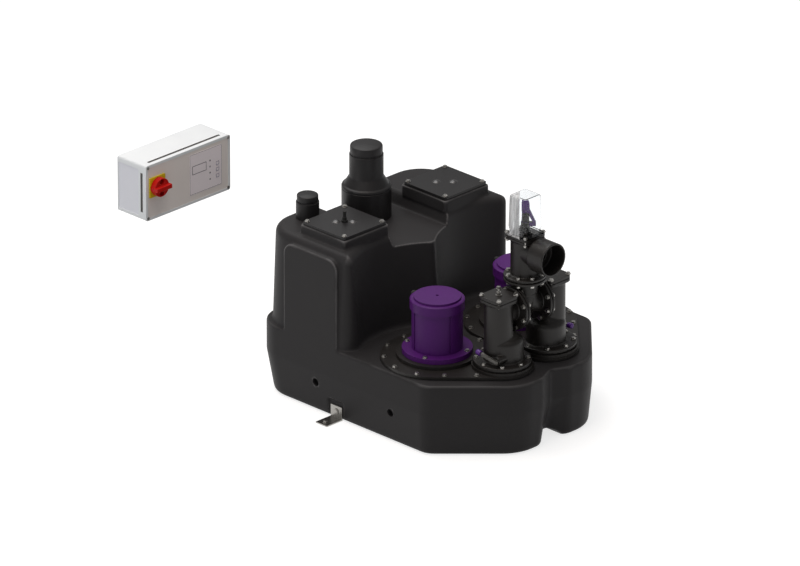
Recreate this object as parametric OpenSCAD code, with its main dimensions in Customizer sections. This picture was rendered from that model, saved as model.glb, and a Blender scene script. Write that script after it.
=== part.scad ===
// Twin-pump sewage lifting station with its wall-mounted control unit.
// Frame: +X to the right along the front, +Y to the back, +Z up, origin at the centre of the tank's base.

/* [Tank] */
// Width of the tank over its lower body
tank_w = 754; // [720:1:800]
// Depth of the tank from the front lobes to the rear wall
tank_d = 986; // [960:1:1040]
// Height of the shelf that carries the pumps
shelf_h = 243; // [225:1:265]
// Height of the two humps that carry the inspection covers
hump_h = 568; // [550:1:600]
// How far the saddle lies below the humps
saddle_drop = 45; // [35:1:60]
// Width of the saddle's floor
saddle_w = 240; // [225:1:248]
// Wall thickness of the moulded tank
tank_wall = 8; // [6:0.5:9]
// Length cut off each front corner, along the side and along the front
corner_cut = 217; // [190:1:225]
// Depth of the cleft between the two front lobes
cleft_in = 28; // [15:1:40]
// Radius of the recess that the tall body leaves round each motor
recess_r = 255; // [240:1:262]
// How far the lower walls draw in towards the floor
foot_draft = 12; // [6:1:16]
// How far the tall walls draw in up to their top
top_draft = 8; // [4:1:12]

/* [Inlet and vent] */
// Outer radius of the inlet spigot's wide step
inlet_r = 80; // [75:0.5:84]
// Outer radius of the inlet spigot's narrow step
inlet_small_r = 55; // [50:0.5:60]
// Height of the inlet spigot above the saddle
inlet_rise = 245; // [220:1:280]
// Distance of the inlet's axis behind the tank's middle
inlet_y = 360; // [350:1:370]
// Outer radius of the vent spigot
vent_r = 37.5; // [33:0.5:41]
// Height of the vent spigot above the humps
vent_rise = 80; // [60:1:100]

/* [Inspection covers] */
// Side of the square inspection covers
cover_w = 190; // [180:1:196]
// Distance of each cover's middle from the tank's centre plane
cover_x = 226; // [222:1:230]
// Distance of the covers' middles behind the tank's middle
cover_y = 231; // [226:1:236]
// Height of the covers' top face above the humps
cover_rise = 40; // [34:1:52]
// Radius of the access opening under each cover
access_r = 73; // [60:1:78]

/* [Pumps] */
// Distance of each pump's axis from the tank's centre plane
pump_x = 187; // [184:1:192]
// Distance of the pump axes behind the tank's front
pump_back = 348; // [340:1:352]
// Radius of the mounting plate round the pump
plate_r = 181; // [178:1:183]
// Thickness of the mounting plate
plate_t = 9; // [7:0.5:12]
// Radius of the motor's flange
motor_flange_r = 112.5; // [110:0.5:116]
// Radius of the motor's body
motor_r = 81.5; // [79:0.5:84]
// Radius of the motor's end cap
motor_cap_r = 87.5; // [86:0.5:92]
// Height of the motor from its flange face to its top
motor_h = 191; // [180:1:205]
// Radius of the rotor shaft in its bearings
shaft_r = 12.5; // [11:0.5:14]
// Radius of the impeller
impeller_r = 78; // [70:1:82]
// Number of impeller blades
blades = 6; // [4:1:8]

/* [Check valves] */
// Distance of each check valve's axis from the tank's centre plane
valve_x = 102; // [101:0.5:105]
// Distance of the check valves' axes behind the tank's front
valve_back = 144; // [142:1:150]
// Radius of the check valve's base flange
valve_flange_r = 93.5; // [92:0.5:95]
// Outer radius of the check valve's bowl
bowl_r = 64; // [62:0.5:66]
// Outer radius of the check valve's upper chamber
chamber_r = 46; // [45:0.5:48]
// Height of the branch pipes' axis above the floor
branch_z = 437; // [434:1:440]
// Radius of the branch flanges
branch_flange_r = 72; // [70:0.5:73]
// Radius of the bore through the valves
valve_bore = 40; // [36:0.5:42]
// Angle that the flap opens through
flap_open = 32; // [20:1:34]

/* [Outlet] */
// Height of the flange pair between the wye and the discharge head
pair_z = 530; // [528:1:536]
// Radius of the round flanges on the wye and the head
pair_r = 68.5; // [67:0.5:72]
// Outer radius of the head's upright body
head_r = 46.4; // [45:0.2:48]
// Height of the outlet's axis above the floor
outlet_z = 622; // [618:1:626]
// Outer radius of the outlet spigot
outlet_r = 55; // [53:0.5:56]
// Distance of the outlet's mouth in front of the head's axis
outlet_reach = 125; // [115:1:135]
// Side of the head's square top flange
bonnet_w = 97; // [95:1:102]
// Overall height of the station, at the top of the clear hood
hood_top = 811; // [805:1:825]
// Wall thickness of the clear hood
hood_wall = 3; // [2:0.5:4]

/* [Fasteners and fits] */
// Shank radius of the flange bolts
bolt_r = 4; // [3:0.5:4.5]
// Clearance round a bolt's shank
bolt_gap = 0.6; // [0.4:0.1:1]
// Thickness of the flange gaskets
gasket_t = 3; // [2:0.5:4]
// Radial clearance of shafts in their bearings
run_gap = 0.05; // [0.02:0.01:0.08]
// Clearance between pieces that plug into each other
fit_gap = 0.4; // [0.35:0.05:0.8]

/* [Floor brackets] */
// Width of the floor brackets
bracket_w = 50; // [40:1:56]
// Thickness of the floor brackets
bracket_t = 4; // [3:0.5:5]
// Height of the brackets' upright leg
bracket_h = 45; // [40:1:54]
// Length of the brackets' foot beyond the tank's side
bracket_reach = 57; // [50:1:70]

/* [Control unit] */
// Width of the control unit's case
box_w = 372; // [365:1:420]
// Height of the control unit's case
box_h = 190; // [184:1:220]
// Depth of the control unit's case with its cover
box_d = 130; // [120:1:150]
// Wall thickness of the control unit's case
box_wall = 4; // [3:0.5:5]
// Position of the case's left lower front corner
box_at = [-713, 631, 633]; // [-2000:1:2000]
// Radius of the rotary main switch
knob_r = 31; // [28:0.5:33.5]
// Side of the square keys
key_w = 15; // [12:0.5:18]
// Travel of the keys
key_travel = 1; // [0.6:0.1:1.4]

/* [Hidden] */

$fn = 48;
poly_black = [0.17, 0.17, 0.17];
cast_black = [0.13, 0.13, 0.13];
rubber_black = [0.08, 0.08, 0.08];
motor_purple = [0.36, 0.16, 0.42];
stainless = [0.72, 0.73, 0.74];
case_grey = [0.87, 0.89, 0.90];
overlap = 1;

// Places worked out from the driving sizes
front_y = -tank_d / 2;
rear_y = tank_d / 2;
side_x = tank_w / 2;
saddle_h = hump_h - saddle_drop;
inlet_top = saddle_h + inlet_rise;
vent_top = hump_h + vent_rise;
cover_top = hump_h + cover_rise;
pump_y = front_y + pump_back;
valve_y = front_y + valve_back;
unit_len = norm([valve_x - pump_x, valve_y - pump_y]);
unit_turn = atan2(valve_y - pump_y, pump_x - valve_x);

// Heights of the stack on the shelf
plate_z = shelf_h + gasket_t;
plate_top = plate_z + plate_t;
ring_top = plate_top + 12;
boss_top = plate_top + 10;
valve_z = boss_top + gasket_t;
motor_z = ring_top;
motor_flange_t = 16;
cap_h = 40;
cap_z = motor_z + motor_h - cap_h;

function unit(v) = v / norm(v);
function short_way(a) = a > 180 ? a - 360 : a < -180 ? a + 360 : a;
function lerp(a, b, f) = a + (b - a) * f;
function mirror_x(points) = [for (p = points) [-p.x, p.y]];
function reversed(list) = [for (i = [len(list) - 1:-1:0]) list[i]];

// Arc from angle a0 through sweep degrees about c
function arc(c, r, a0, sweep, n) = [for (i = [0:n]) c + r * [cos(a0 + sweep * i / n), sin(a0 + sweep * i / n)]];

// Arc that rounds the corner b between its neighbours a and c
function rounded(a, b, c, r, n) =
    let (u = unit(a - b), v = unit(c - b), half = acos(u * v) / 2)
    let (m = b + unit(u + v) * r / sin(half), p = b + u * r / tan(half), q = b + v * r / tan(half))
    let (a0 = atan2(p.y - m.y, p.x - m.x), a1 = atan2(q.y - m.y, q.x - m.x))
    arc(m, r, a0, short_way(a1 - a0), n);

// Rounded rectangle about the origin, anticlockwise
function rounded_rect(w, h, r, n) = [
    for (k = [0:3])
        let (sx = (k == 0 || k == 3) ? 1 : -1, sy = k < 2 ? 1 : -1)
        for (p = arc([sx * (w / 2 - r), sy * (h / 2 - r)], r, 90 * k, 90, n)) p
];

// Closed skin over a stack of loops that all have the same number of points
module loft(loops, heights) {
    n = len(loops[0]);
    m = len(loops);
    points = [for (j = [0:m - 1]) for (p = loops[j]) [p.x, p.y, heights[j]]];
    sides = [
        for (j = [0:m - 2]) for (i = [0:n - 1])
            [j * n + i, (j + 1) * n + i, (j + 1) * n + (i + 1) % n, j * n + (i + 1) % n]
    ];
    polyhedron(points, concat([[for (i = [0:n - 1]) i]], sides, [[for (i = [n - 1:-1:0]) (m - 1) * n + i]]));
}

// A half outline from the rear centre to the front centre, closed by its mirror image, anticlockwise
function both_halves(half) =
    reversed(concat(half, [for (i = [len(half) - 2:-1:1]) [-half[i].x, half[i].y]]));

// Lower body: rounded rear corners, chamfered front corners, two lobes and the cleft between them
rear_corner_r = 102;
side_corner_r = 60;
lobe_corner_r = 130;
cleft_half_w = 60;
cleft_r = 45;
cleft_tip_r = 22;
draft_h = 140;
cleft_deep = 62;

function lower_half(inset, h) =
    let (low = max(0, (draft_h - h) / draft_h), d = inset + foot_draft * low)
    let (w = side_x - d, yr = rear_y - d - foot_draft * low, yf = front_y + d)
    let (diagonal = side_x + tank_d / 2 - corner_cut - d * sqrt(2))
    let (tip = [0, yf + lerp(cleft_in, cleft_deep, low)])
    let (c1 = [w, -(diagonal - w)], c2 = [diagonal + yf, yf], c3 = [cleft_half_w, yf])
    concat(
        [[0, yr]],
        rounded([0, yr], [w, yr], c1, rear_corner_r - inset, 6),
        rounded([w, yr], c1, c2, side_corner_r, 3),
        rounded(c1, c2, c3, lobe_corner_r, 5),
        rounded(c2, c3, tip, cleft_r, 3),
        [for (i = [0:2]) rounded(c3, tip, [-c3.x, c3.y], cleft_tip_r, 4)[i]]
    );

foot_r = 14;
shelf_r = 8;

module lower_body() {
    steps = [
        [foot_r, 0], [foot_r * (1 - sin(50)), foot_r * (1 - cos(50))], [0, foot_r], [0, draft_h / 2],
        [0, draft_h], [0, shelf_h - shelf_r], [shelf_r * (1 - cos(45)), shelf_h - shelf_r * (1 - sin(45))],
        [shelf_r, shelf_h]
    ];
    loft([for (s = steps) both_halves(lower_half(s[0], s[1]))], [for (s = steps) s[1]]);
}

// Tall body: its front wall follows a round recess about each pump, with a nose at each side
tall_inset = 9;
tall_corner_r = 115;
nose_r = 40;
nose_top_r = 15;
cusp_r = 25;
recess_grow = 18;
hump_r = 25;

function tall_half(inset, front_inset, h) =
    let (f = (h - shelf_h) / (hump_h - shelf_h), pump = [pump_x, pump_y])
    let (w = side_x - tall_inset - top_draft * f - inset, yr = rear_y - tall_inset - 3 - top_draft * f - inset)
    let (r = recess_r + recess_grow * f + front_inset, rn = max(lerp(nose_r, nose_top_r, f) - front_inset, 3))
    let (rc = max(cusp_r - front_inset, 4), dx = w - rn - pump.x)
    let (nose = [w - rn, pump.y + sqrt(pow(r + rn, 2) - dx * dx)])
    let (cusp = [0, pump.y + sqrt(pow(r + rc, 2) - pump.x * pump.x)])
    let (a_nose = atan2(nose.y - pump.y, nose.x - pump.x), a_cusp = atan2(cusp.y - pump.y, cusp.x - pump.x))
    concat(
        [[0, yr]],
        rounded([0, yr], [w, yr], [w, 0], tall_corner_r - inset, 6),
        arc(nose, rn, 0, a_nose - 180, 4),
        [for (i = [1:11]) arc(pump, r, a_nose, a_cusp - a_nose, 12)[i]],
        arc(cusp, rc, a_cusp - 180, -90 - (a_cusp - 180), 3)
    );

module tall_body() {
    root_r = 10;
    steps = [
        [0, -root_r, shelf_h - 20], [0, -root_r, shelf_h], [0, -root_r * 0.4, shelf_h + root_r * 0.4],
        [0, 0, shelf_h + root_r * 1.4], [0, 0, lerp(shelf_h, hump_h, 0.5)], [0, 0, hump_h - hump_r],
        each [for (a = [30:30:90]) [hump_r * (1 - cos(a)), hump_r * (1 - cos(a)), hump_h - hump_r * (1 - sin(a))]]
    ];
    loft([for (s = steps) both_halves(tall_half(s[0], s[1], s[2]))], [for (s = steps) s[2]]);
}

// Channel of the saddle: flat floor, walls that lean out, and rounded upper edges
module saddle_channel(floor_z, half_w, reach_top) {
    lean = 8;
    edge_r = 16;
    top = hump_h + overlap;
    right = concat(
        [[half_w, floor_z], [half_w + lean, hump_h - edge_r]],
        [for (a = [30:30:90]) [half_w + lean + edge_r * (1 - cos(a)), hump_h - edge_r * (1 - sin(a))]],
        [[half_w + lean + edge_r, reach_top]]
    );
    translate([0, rear_y + 50, 0])
        rotate([90, 0, 0])
            linear_extrude(tank_d)
                polygon(concat(right, reversed(mirror_x(right))));
}

// Raised pad on each side wall, flush with the lower body
pad_front = 116;
pad_rear = 356;
pad_top = hump_h - 21;
pad_r = 40;

module side_pad(side) {
    hull() {
        for (y = [pad_front + pad_r, pad_rear - pad_r])
            translate([side * side_x, y, pad_top - pad_r]) rotate([0, -side * 90, 0]) cylinder(r = pad_r, h = 40);
        for (y = [pad_front, pad_rear - overlap])
            translate([side > 0 ? side_x - 40 : -side_x, y, shelf_h - 40]) cube([40, overlap, overlap]);
    }
}

collar_w = cover_w + 11;
cover_t = 7;
collar_z = cover_top - gasket_t - cover_t;

module collar(side) {
    corner = collar_w / 2 - 10;
    hull()
        for (sx = [-1, 1], sy = [-1, 1])
            translate([side * cover_x + sx * corner, cover_y + sy * corner, hump_h - 5])
                cylinder(r = 10, h = collar_z - hump_h + 5, $fn = 32);
}

// Opening in the shelf that the pump casing passes down through
opening_r = 152;
opening_small_r = 64;

module shelf_opening(side) {
    hull() {
        translate([side * pump_x, pump_y, shelf_h - 30]) cylinder(r = opening_r, h = 40);
        translate([side * valve_x, valve_y, shelf_h - 30]) cylinder(r = opening_small_r, h = 40);
    }
}

// Recess low on each side wall for the floor bracket
bracket_y = 128;
pocket_depth = 14;
pocket_w = bracket_w + 18;
pocket_h = 65;

module bracket_pocket(side) {
    x0 = side > 0 ? side_x - pocket_depth : -side_x - 30;
    hull() {
        translate([x0, bracket_y - pocket_w / 2, -overlap]) cube([pocket_depth + 30, pocket_w, overlap]);
        for (sy = [-1, 1])
            translate([x0, bracket_y + sy * (pocket_w / 2 - 8), pocket_h - 8])
                rotate([0, 90, 0]) cylinder(r = 8, h = pocket_depth + 30, $fn = 24);
    }
}

lug_r = 14;
lug_z = 102;
lug_ys = [214, -121];

// Free space inside the tank, one wall inside the skin
module tank_cavity() {
    low = [tank_wall, draft_h, shelf_h - tank_wall];
    tall = [shelf_h - 40, hump_h - tank_wall];
    difference() {
        union() {
            loft([for (h = low) both_halves(lower_half(tank_wall, h))], low);
            difference() {
                loft([for (h = tall) both_halves(tall_half(tank_wall, tank_wall, h))], tall);
                saddle_channel(saddle_h - tank_wall, saddle_w / 2 + tank_wall, hump_h + 20);
            }
        }
        for (side = [-1, 1]) {
            translate([side > 0 ? side_x - pocket_depth - tank_wall : -side_x - 1,
                       bracket_y - pocket_w / 2 - tank_wall, -overlap])
                cube([pocket_depth + tank_wall + 1, pocket_w + 2 * tank_wall, pocket_h + tank_wall]);
            for (y = lug_ys)
                translate([side * (side_x - 22), y, lug_z]) rotate([0, side * 90, 0]) cylinder(r = lug_r + 6, h = 30, $fn = 24);
        }
        translate([0, front_y, 0]) rotate([-90, 0, 0]) cylinder(r = 78, h = 110, $fn = 32);
    }
}

// Bolt places round one pear-shaped plate, in the unit's own frame with the valve along +X
plate_bolt_r = plate_r - 11;
plate_bolt_spots = concat(
    [for (a = [60:30:300]) plate_bolt_r * [cos(a), sin(a)]],
    [for (s = [-1, 1]) [179, s * 110]]
);

module at_unit(side) {
    translate([side * pump_x, pump_y, 0]) rotate([0, 0, side > 0 ? -180 - unit_turn : unit_turn]) children();
}

module tank_shell() {
    color(poly_black)
        difference() {
            union() {
                lower_body();
                difference() {
                    tall_body();
                    saddle_channel(saddle_h, saddle_w / 2, hump_h + 20);
                }
                for (side = [-1, 1]) {
                    side_pad(side);
                    collar(side);
                }
            }
            tank_cavity();
            for (side = [-1, 1]) {
                shelf_opening(side);
                bracket_pocket(side);
                translate([side * cover_x, cover_y, hump_h - 30]) cylinder(r = access_r + 2, h = 80);
                for (y = lug_ys)
                    translate([side * (side_x - 12), y, lug_z]) rotate([0, side * 90, 0]) cylinder(r = lug_r, h = 30, $fn = 32);
                at_unit(side)
                    for (p = plate_bolt_spots)
                        translate([p.x, p.y, shelf_h - plate_bolt_l - 1])
                            cylinder(r = bolt_r + bolt_gap + 0.2, h = plate_bolt_l + 10, $fn = 8);
                for (sx = [-1, 1], sy = [-1, 1])
                    translate([side * cover_x + sx * cover_bolt, cover_y + sy * cover_bolt, collar_z - 18])
                        cylinder(r = bolt_r + bolt_gap + 0.2, h = 30, $fn = 8);
            }
            translate([0, inlet_y, saddle_h - 30]) cylinder(r = inlet_neck_r + fit_gap + 0.2, h = 50);
            translate([-vent_x, vent_y, hump_h - 30]) cylinder(r = vent_neck_r + fit_gap + 0.2, h = 50);
            translate([0, front_y - overlap, -36.2]) rotate([-90, 0, 0]) cylinder(r = 64.2, h = 100);
        }
}

// Inlet spigot: wide step with a bead, a cone shoulder, a narrow step and a closed cap to be cut off on site
inlet_neck_r = inlet_r - 9;
inlet_step_z = saddle_h + 107;
inlet_cap_z = inlet_top - 30;
spigot_wall = 5;

module inlet_spigot() {
    profile = [
        [0, inlet_top], [inlet_small_r - 9, inlet_top], [inlet_small_r - 4, inlet_top - 2],
        [inlet_small_r - 2.5, inlet_top - 6], [inlet_small_r - 2.5, inlet_cap_z + 3], [inlet_small_r - 4, inlet_cap_z + 2],
        [inlet_small_r - 4, inlet_cap_z - 1], [inlet_small_r, inlet_cap_z - 2], [inlet_small_r, inlet_step_z + 32],
        [inlet_small_r + 3, inlet_step_z + 27], [inlet_r - 8, inlet_step_z + 4], [inlet_r - 2, inlet_step_z + 1],
        [inlet_r, inlet_step_z - 3], [inlet_r, inlet_step_z - 6], [inlet_r - 1.5, inlet_step_z - 7],
        [inlet_r - 1.5, inlet_step_z - 9], [inlet_r, inlet_step_z - 10], [inlet_r, saddle_h],
        [inlet_neck_r, saddle_h], [inlet_neck_r, saddle_h - 20], [inlet_neck_r - spigot_wall, saddle_h - 20],
        [inlet_neck_r - spigot_wall, inlet_step_z - 4], [inlet_small_r - spigot_wall - 3, inlet_step_z + 24],
        [inlet_small_r - spigot_wall - 3, inlet_top - spigot_wall], [0, inlet_top - spigot_wall]
    ];
    color(poly_black) translate([0, inlet_y, 0]) rotate_extrude($fn = 72) polygon(profile);
}

// Vent spigot: a short stub with a grooved closed cap
vent_x = 220;
vent_y = 404;
vent_neck_r = vent_r - 6;

module vent_spigot() {
    cap = vent_top - 19;
    profile = [
        [0, vent_top], [vent_r - 6, vent_top], [vent_r - 3.5, vent_top - 1.5], [vent_r - 3, vent_top - 4],
        [vent_r - 3, cap], [vent_r - 5, cap - 1], [vent_r - 5, cap - 4], [vent_r, cap - 5], [vent_r, hump_h],
        [vent_neck_r, hump_h], [vent_neck_r, hump_h - 20], [vent_neck_r - 4, hump_h - 20],
        [vent_neck_r - 4, vent_top - 5], [0, vent_top - 5]
    ];
    color(poly_black) translate([-vent_x, vent_y, 0]) rotate_extrude($fn = 64) polygon(profile);
}

// Hexagon-head bolt whose washer face lies at z = 0 and whose shank points down
module hex_bolt(r, length, head = 1) {
    translate([0, 0, 1.4]) cylinder(r = r * 1.75, h = r * 1.25 * head, $fn = 6);
    cylinder(r = r * 2.1, h = 1.6, $fn = 24);
    translate([0, 0, -length]) cylinder(r = r, h = length + 1, $fn = 24);
}

// Nut and washer whose washer face lies at z = 0, below the joint
module hex_nut(r) {
    difference() {
        union() {
            translate([0, 0, -1.6]) cylinder(r = r * 2.1, h = 1.6, $fn = 24);
            translate([0, 0, -1.4 - r * 1.5]) cylinder(r = r * 1.75, h = r * 1.5, $fn = 6);
        }
        translate([0, 0, -r * 3]) cylinder(r = r + run_gap, h = r * 4, $fn = 24);
    }
}

cover_bolt = cover_w / 2 - 11.5;
plate_bolt_l = 20;

module inspection_cover(side) {
    dome_r = 22;
    color(poly_black)
        translate([side * cover_x, cover_y, 0])
            difference() {
                union() {
                    translate([0, 0, collar_z + gasket_t])
                        linear_extrude(cover_t) polygon(rounded_rect(cover_w, cover_w, 9, 4));
                    translate([0, 0, collar_z - 12]) cylinder(r = access_r, h = 12 + gasket_t + overlap);
                    for (s = [-1, 1])
                        translate([s * 19, -s * 19, cover_top + 5 - dome_r])
                            intersection() {
                                sphere(r = dome_r);
                                translate([-dome_r, -dome_r, dome_r - 8]) cube([2 * dome_r, 2 * dome_r, 8]);
                            }
                }
                translate([0, 0, collar_z - 13]) cylinder(r = access_r - 5, h = 13);
                for (sx = [-1, 1], sy = [-1, 1])
                    translate([sx * cover_bolt, sy * cover_bolt, collar_z]) cylinder(r = bolt_r + bolt_gap, h = 20);
                if (side < 0)
                    translate([0, 0, collar_z - 5]) cylinder(r = level_r + fit_gap, h = 30);
            }
}

module inspection_cover_left() { inspection_cover(-1); }
module inspection_cover_right() { inspection_cover(1); }

module gaskets() {
    color(rubber_black) {
        for (side = [-1, 1]) {
            translate([side * cover_x, cover_y, collar_z])
                linear_extrude(gasket_t)
                    difference() {
                        polygon(rounded_rect(cover_w - 2, cover_w - 2, 9, 4));
                        circle(r = access_r + 1);
                        for (sx = [-1, 1], sy = [-1, 1])
                            translate([sx * cover_bolt, sy * cover_bolt]) circle(r = bolt_r + bolt_gap);
                    }
            at_unit(side)
                translate([0, 0, shelf_h])
                    difference() {
                        linear_extrude(gasket_t) polygon(pear_outline(plate_r - 1, plate_small_r - 1));
                        translate([0, 0, -overlap]) cylinder(r = opening_r + 2, h = gasket_t + 2 * overlap);
                        translate([unit_len, 0, -overlap]) cylinder(r = opening_small_r + 2, h = gasket_t + 2 * overlap);
                        translate([opening_r - 25, -40, -overlap]) cube([45, 80, gasket_t + 2 * overlap]);
                        for (p = plate_bolt_spots)
                            translate([p.x, p.y, -overlap]) cylinder(r = bolt_r + bolt_gap, h = gasket_t + 2 * overlap);
                    }
            translate([side * valve_x, valve_y, boss_top])
                linear_extrude(gasket_t)
                    difference() {
                        circle(r = min(valve_flange_r - 1, unit_len - ring_r - fit_gap));
                        circle(r = valve_bore + 1);
                        for (a = [0:45:315]) rotate(a) translate([valve_bolt_r, 0]) circle(r = bolt_r + bolt_gap);
                    }
            translate([side * chamber_x, valve_y, lid_z - 2])
                linear_extrude(2)
                    difference() {
                        circle(r = lid_bore + 7);
                        circle(r = lid_bore + 1);
                    }
            translate([side * branch_x, valve_y, branch_z])
                rotate([0, 90, 0])
                    translate([0, 0, -gasket_t / 2])
                        linear_extrude(gasket_t) difference() {
                            circle(r = branch_flange_r - 16);
                            circle(r = branch_bore + 1);
                        }
        }
        translate([0, valve_y, pair_z - gasket_t / 2])
            linear_extrude(gasket_t) difference() {
                circle(r = pair_r - 18);
                circle(r = head_bore + 1);
            }
        translate([0, valve_y, head_top])
            linear_extrude(2) difference() {
                circle(r = plug_r + 5);
                circle(r = plug_r - 3);
            }
    }
}

module cover_bolts() {
    color(stainless)
        for (side = [-1, 1], sx = [-1, 1], sy = [-1, 1])
            translate([side * cover_x + sx * cover_bolt, cover_y + sy * cover_bolt, cover_top])
                hex_bolt(bolt_r, cover_top - collar_z + 14, 0.8);
}

// Level sensing: a gland in the left cover and the air bell that hangs below it
level_r = 5;

module level_gland() {
    color(cast_black)
        translate([-cover_x, cover_y, cover_top]) {
            cylinder(r = 11, h = 6, $fn = 6);
            cylinder(r = level_r + 2, h = 16);
            cylinder(r = level_r, h = 36);
            translate([0, 0, 32]) cylinder(r = level_r + 1.2, h = 4);
            translate([0, 0, collar_z - cover_top - 20]) cylinder(r = level_r, h = cover_top - collar_z + 21);
        }
}

module level_bell() {
    top = collar_z - 20;
    bell_h = 90;
    bell_z = 55;
    color([0.55, 0.56, 0.58])
        translate([-cover_x, cover_y, 0])
            difference() {
                union() {
                    translate([0, 0, bell_z]) cylinder(r = 32, h = bell_h);
                    translate([0, 0, bell_z + bell_h - overlap]) cylinder(r1 = 32, r2 = level_r + 3, h = 24);
                    translate([0, 0, bell_z + bell_h]) cylinder(r = level_r + 3, h = top - bell_z - bell_h);
                }
                translate([0, 0, bell_z - overlap]) cylinder(r = 29, h = bell_h);
                translate([0, 0, bell_z + 40]) cylinder(r = level_r - 1, h = top);
            }
}

// Pear outline: a circle round the pump, a smaller one round the valve, and their common tangents
plate_small_r = 101;

function pear_outline(big, small) =
    let (lean = acos((big - small) / unit_len))
    concat(arc([0, 0], big, lean, 360 - 2 * lean, 44), arc([unit_len, 0], small, -lean, 2 * lean, 14));

module pear(big, small) {
    lean = acos((big - small) / unit_len);
    tangents = [for (s = [-1, 1]) [cos(lean), s * sin(lean)]];
    circle(r = big);
    translate([unit_len, 0]) circle(r = small);
    polygon([
        big * tangents[0], [unit_len, 0] + small * tangents[0], [unit_len, 0] + small * tangents[1], big * tangents[1]
    ]);
}

// Pump casing: a spiral volute below the plate, a duct to the valve port and a neck round the shaft
volute_z = 88;
volute_h = 84;
volute_min = 96;
volute_max = 132;
casing_wall = 7;
neck_r = 92;
riser_r = valve_bore + 10;

function spiral(grow) = [
    for (a = [0:10:350]) (lerp(volute_min, volute_max, a / 360) + grow) * [cos(a - 60), sin(a - 60)]
];

module pump_plate(side) {
    floor_z = volute_z + volute_h;
    color(cast_black)
        at_unit(side)
            mirror([0, side > 0 ? 1 : 0, 0])
                difference() {
                    union() {
                        translate([0, 0, plate_z]) linear_extrude(plate_t) pear(plate_r, plate_small_r);
                        translate([0, 0, plate_top - overlap]) cylinder(r = ring_r, h = ring_top - plate_top + overlap);
                        translate([unit_len, 0, plate_top - overlap])
                            cylinder(r = valve_flange_r + 4, h = boss_top - plate_top + overlap);
                        translate([0, 0, floor_z - overlap]) cylinder(r = neck_r, h = plate_z - floor_z + 2 * overlap);
                        translate([0, 0, volute_z]) linear_extrude(volute_h) polygon(spiral(0));
                        translate([60, -riser_r + 4, volute_z + 14]) cube([unit_len - 60, 2 * riser_r - 8, volute_h - 14]);
                        translate([unit_len, 0, volute_z + 10]) cylinder(r = riser_r, h = plate_z - volute_z - 9);
                    }
                    translate([0, 0, volute_z + casing_wall])
                        linear_extrude(volute_h - 2 * casing_wall) polygon(spiral(-casing_wall));
                    translate([70, -valve_bore + 6, volute_z + 22])
                        cube([unit_len - 70, 2 * valve_bore - 12, volute_h - 30]);
                    translate([unit_len, 0, volute_z + 18]) cylinder(r = valve_bore, h = 300);
                    translate([0, 0, volute_z - overlap]) cylinder(r = suction_r + fit_gap, h = casing_wall + 2 * overlap);
                    translate([0, 0, volute_z + 20]) cylinder(r = seal_r + fit_gap, h = 300);
                    translate([0, 0, floor_z + 10]) cylinder(r = seal_r + 30, h = ring_top - floor_z - 22);
                    for (p = plate_bolt_spots)
                        translate([p.x, p.y, plate_z - overlap]) cylinder(r = bolt_r + bolt_gap, h = plate_t + 2 * overlap);
                    for (a = [0:45:315])
                        translate([unit_len, 0, 0]) rotate([0, 0, a - unit_turn])
                            translate([valve_bolt_r, 0, plate_top + 0.5]) cylinder(r = bolt_r + bolt_gap, h = 40);
                    for (a = [0:90:270])
                        rotate([0, 0, a]) translate([motor_bolt_r, 0, ring_top - 16]) cylinder(r = bolt_r + bolt_gap, h = 40);
                    translate([0, 0, ring_top - 4]) cylinder(r = spigot_r + fit_gap, h = 10);
                }
}

ring_r = motor_flange_r + 18.5;
motor_bolt_r = motor_flange_r - 10;
seal_r = 22;
spigot_r = 74;
suction_r = 64;

module pump_plate_left() { pump_plate(-1); }
module pump_plate_right() { pump_plate(1); }

module plate_bolts() {
    color(stainless)
        for (side = [-1, 1])
            at_unit(side)
                for (p = plate_bolt_spots)
                    translate([p.x, p.y, plate_top]) hex_bolt(bolt_r, plate_t + gasket_t + plate_bolt_l - 2);
}

// Suction ring that closes the volute from below round its inlet
module suction_rings() {
    color(cast_black)
        for (side = [-1, 1])
            translate([side * pump_x, pump_y, volute_z - 8])
                difference() {
                    union() {
                        cylinder(r = suction_r + 14, h = 8);
                        cylinder(r = suction_r, h = 8 + casing_wall);
                    }
                    translate([0, 0, -overlap]) cylinder(r1 = 50, r2 = 40, h = 10 + overlap);
                    cylinder(r = 40, h = 30);
                }
}

// Motor: a flanged housing with four vertical grooves, the stator inside and a banded end cap
stator_r = 66;
bearing_r = 26;
lower_bearing_z = motor_z + 20;
upper_bearing_z = cap_z + 6;
bearing_w = 15;
rotor_r = 40;

module motor_housing() {
    groove = 3;
    difference() {
        union() {
            cylinder(r = motor_flange_r, h = motor_flange_t);
            cylinder(r = motor_r, h = cap_z - motor_z);
            translate([0, 0, -3.5]) cylinder(r = spigot_r, h = 4);
        }
        translate([0, 0, motor_flange_t + 24]) cylinder(r = stator_r + 0.3, h = 300);
        translate([0, 0, 20]) cylinder(r = bearing_r + run_gap, h = 60);
        translate([0, 0, -10]) cylinder(r = shaft_r + 3, h = 60);
        for (a = [51:90:321])
            rotate([0, 0, a])
                translate([motor_r - groove, -groove, motor_flange_t + 3])
                    cube([2 * groove, 2 * groove, cap_z - motor_z - motor_flange_t - 6]);
        for (a = [0:90:270])
            rotate([0, 0, a]) translate([motor_bolt_r, 0, -overlap]) cylinder(r = bolt_r + bolt_gap, h = 60);
    }
}

module motor_housing_left() { color(motor_purple) at_unit(-1) translate([0, 0, motor_z]) motor_housing(); }
module motor_housing_right() {
    color(motor_purple) at_unit(1) mirror([0, 1, 0]) translate([0, 0, motor_z]) motor_housing();
}

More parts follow.
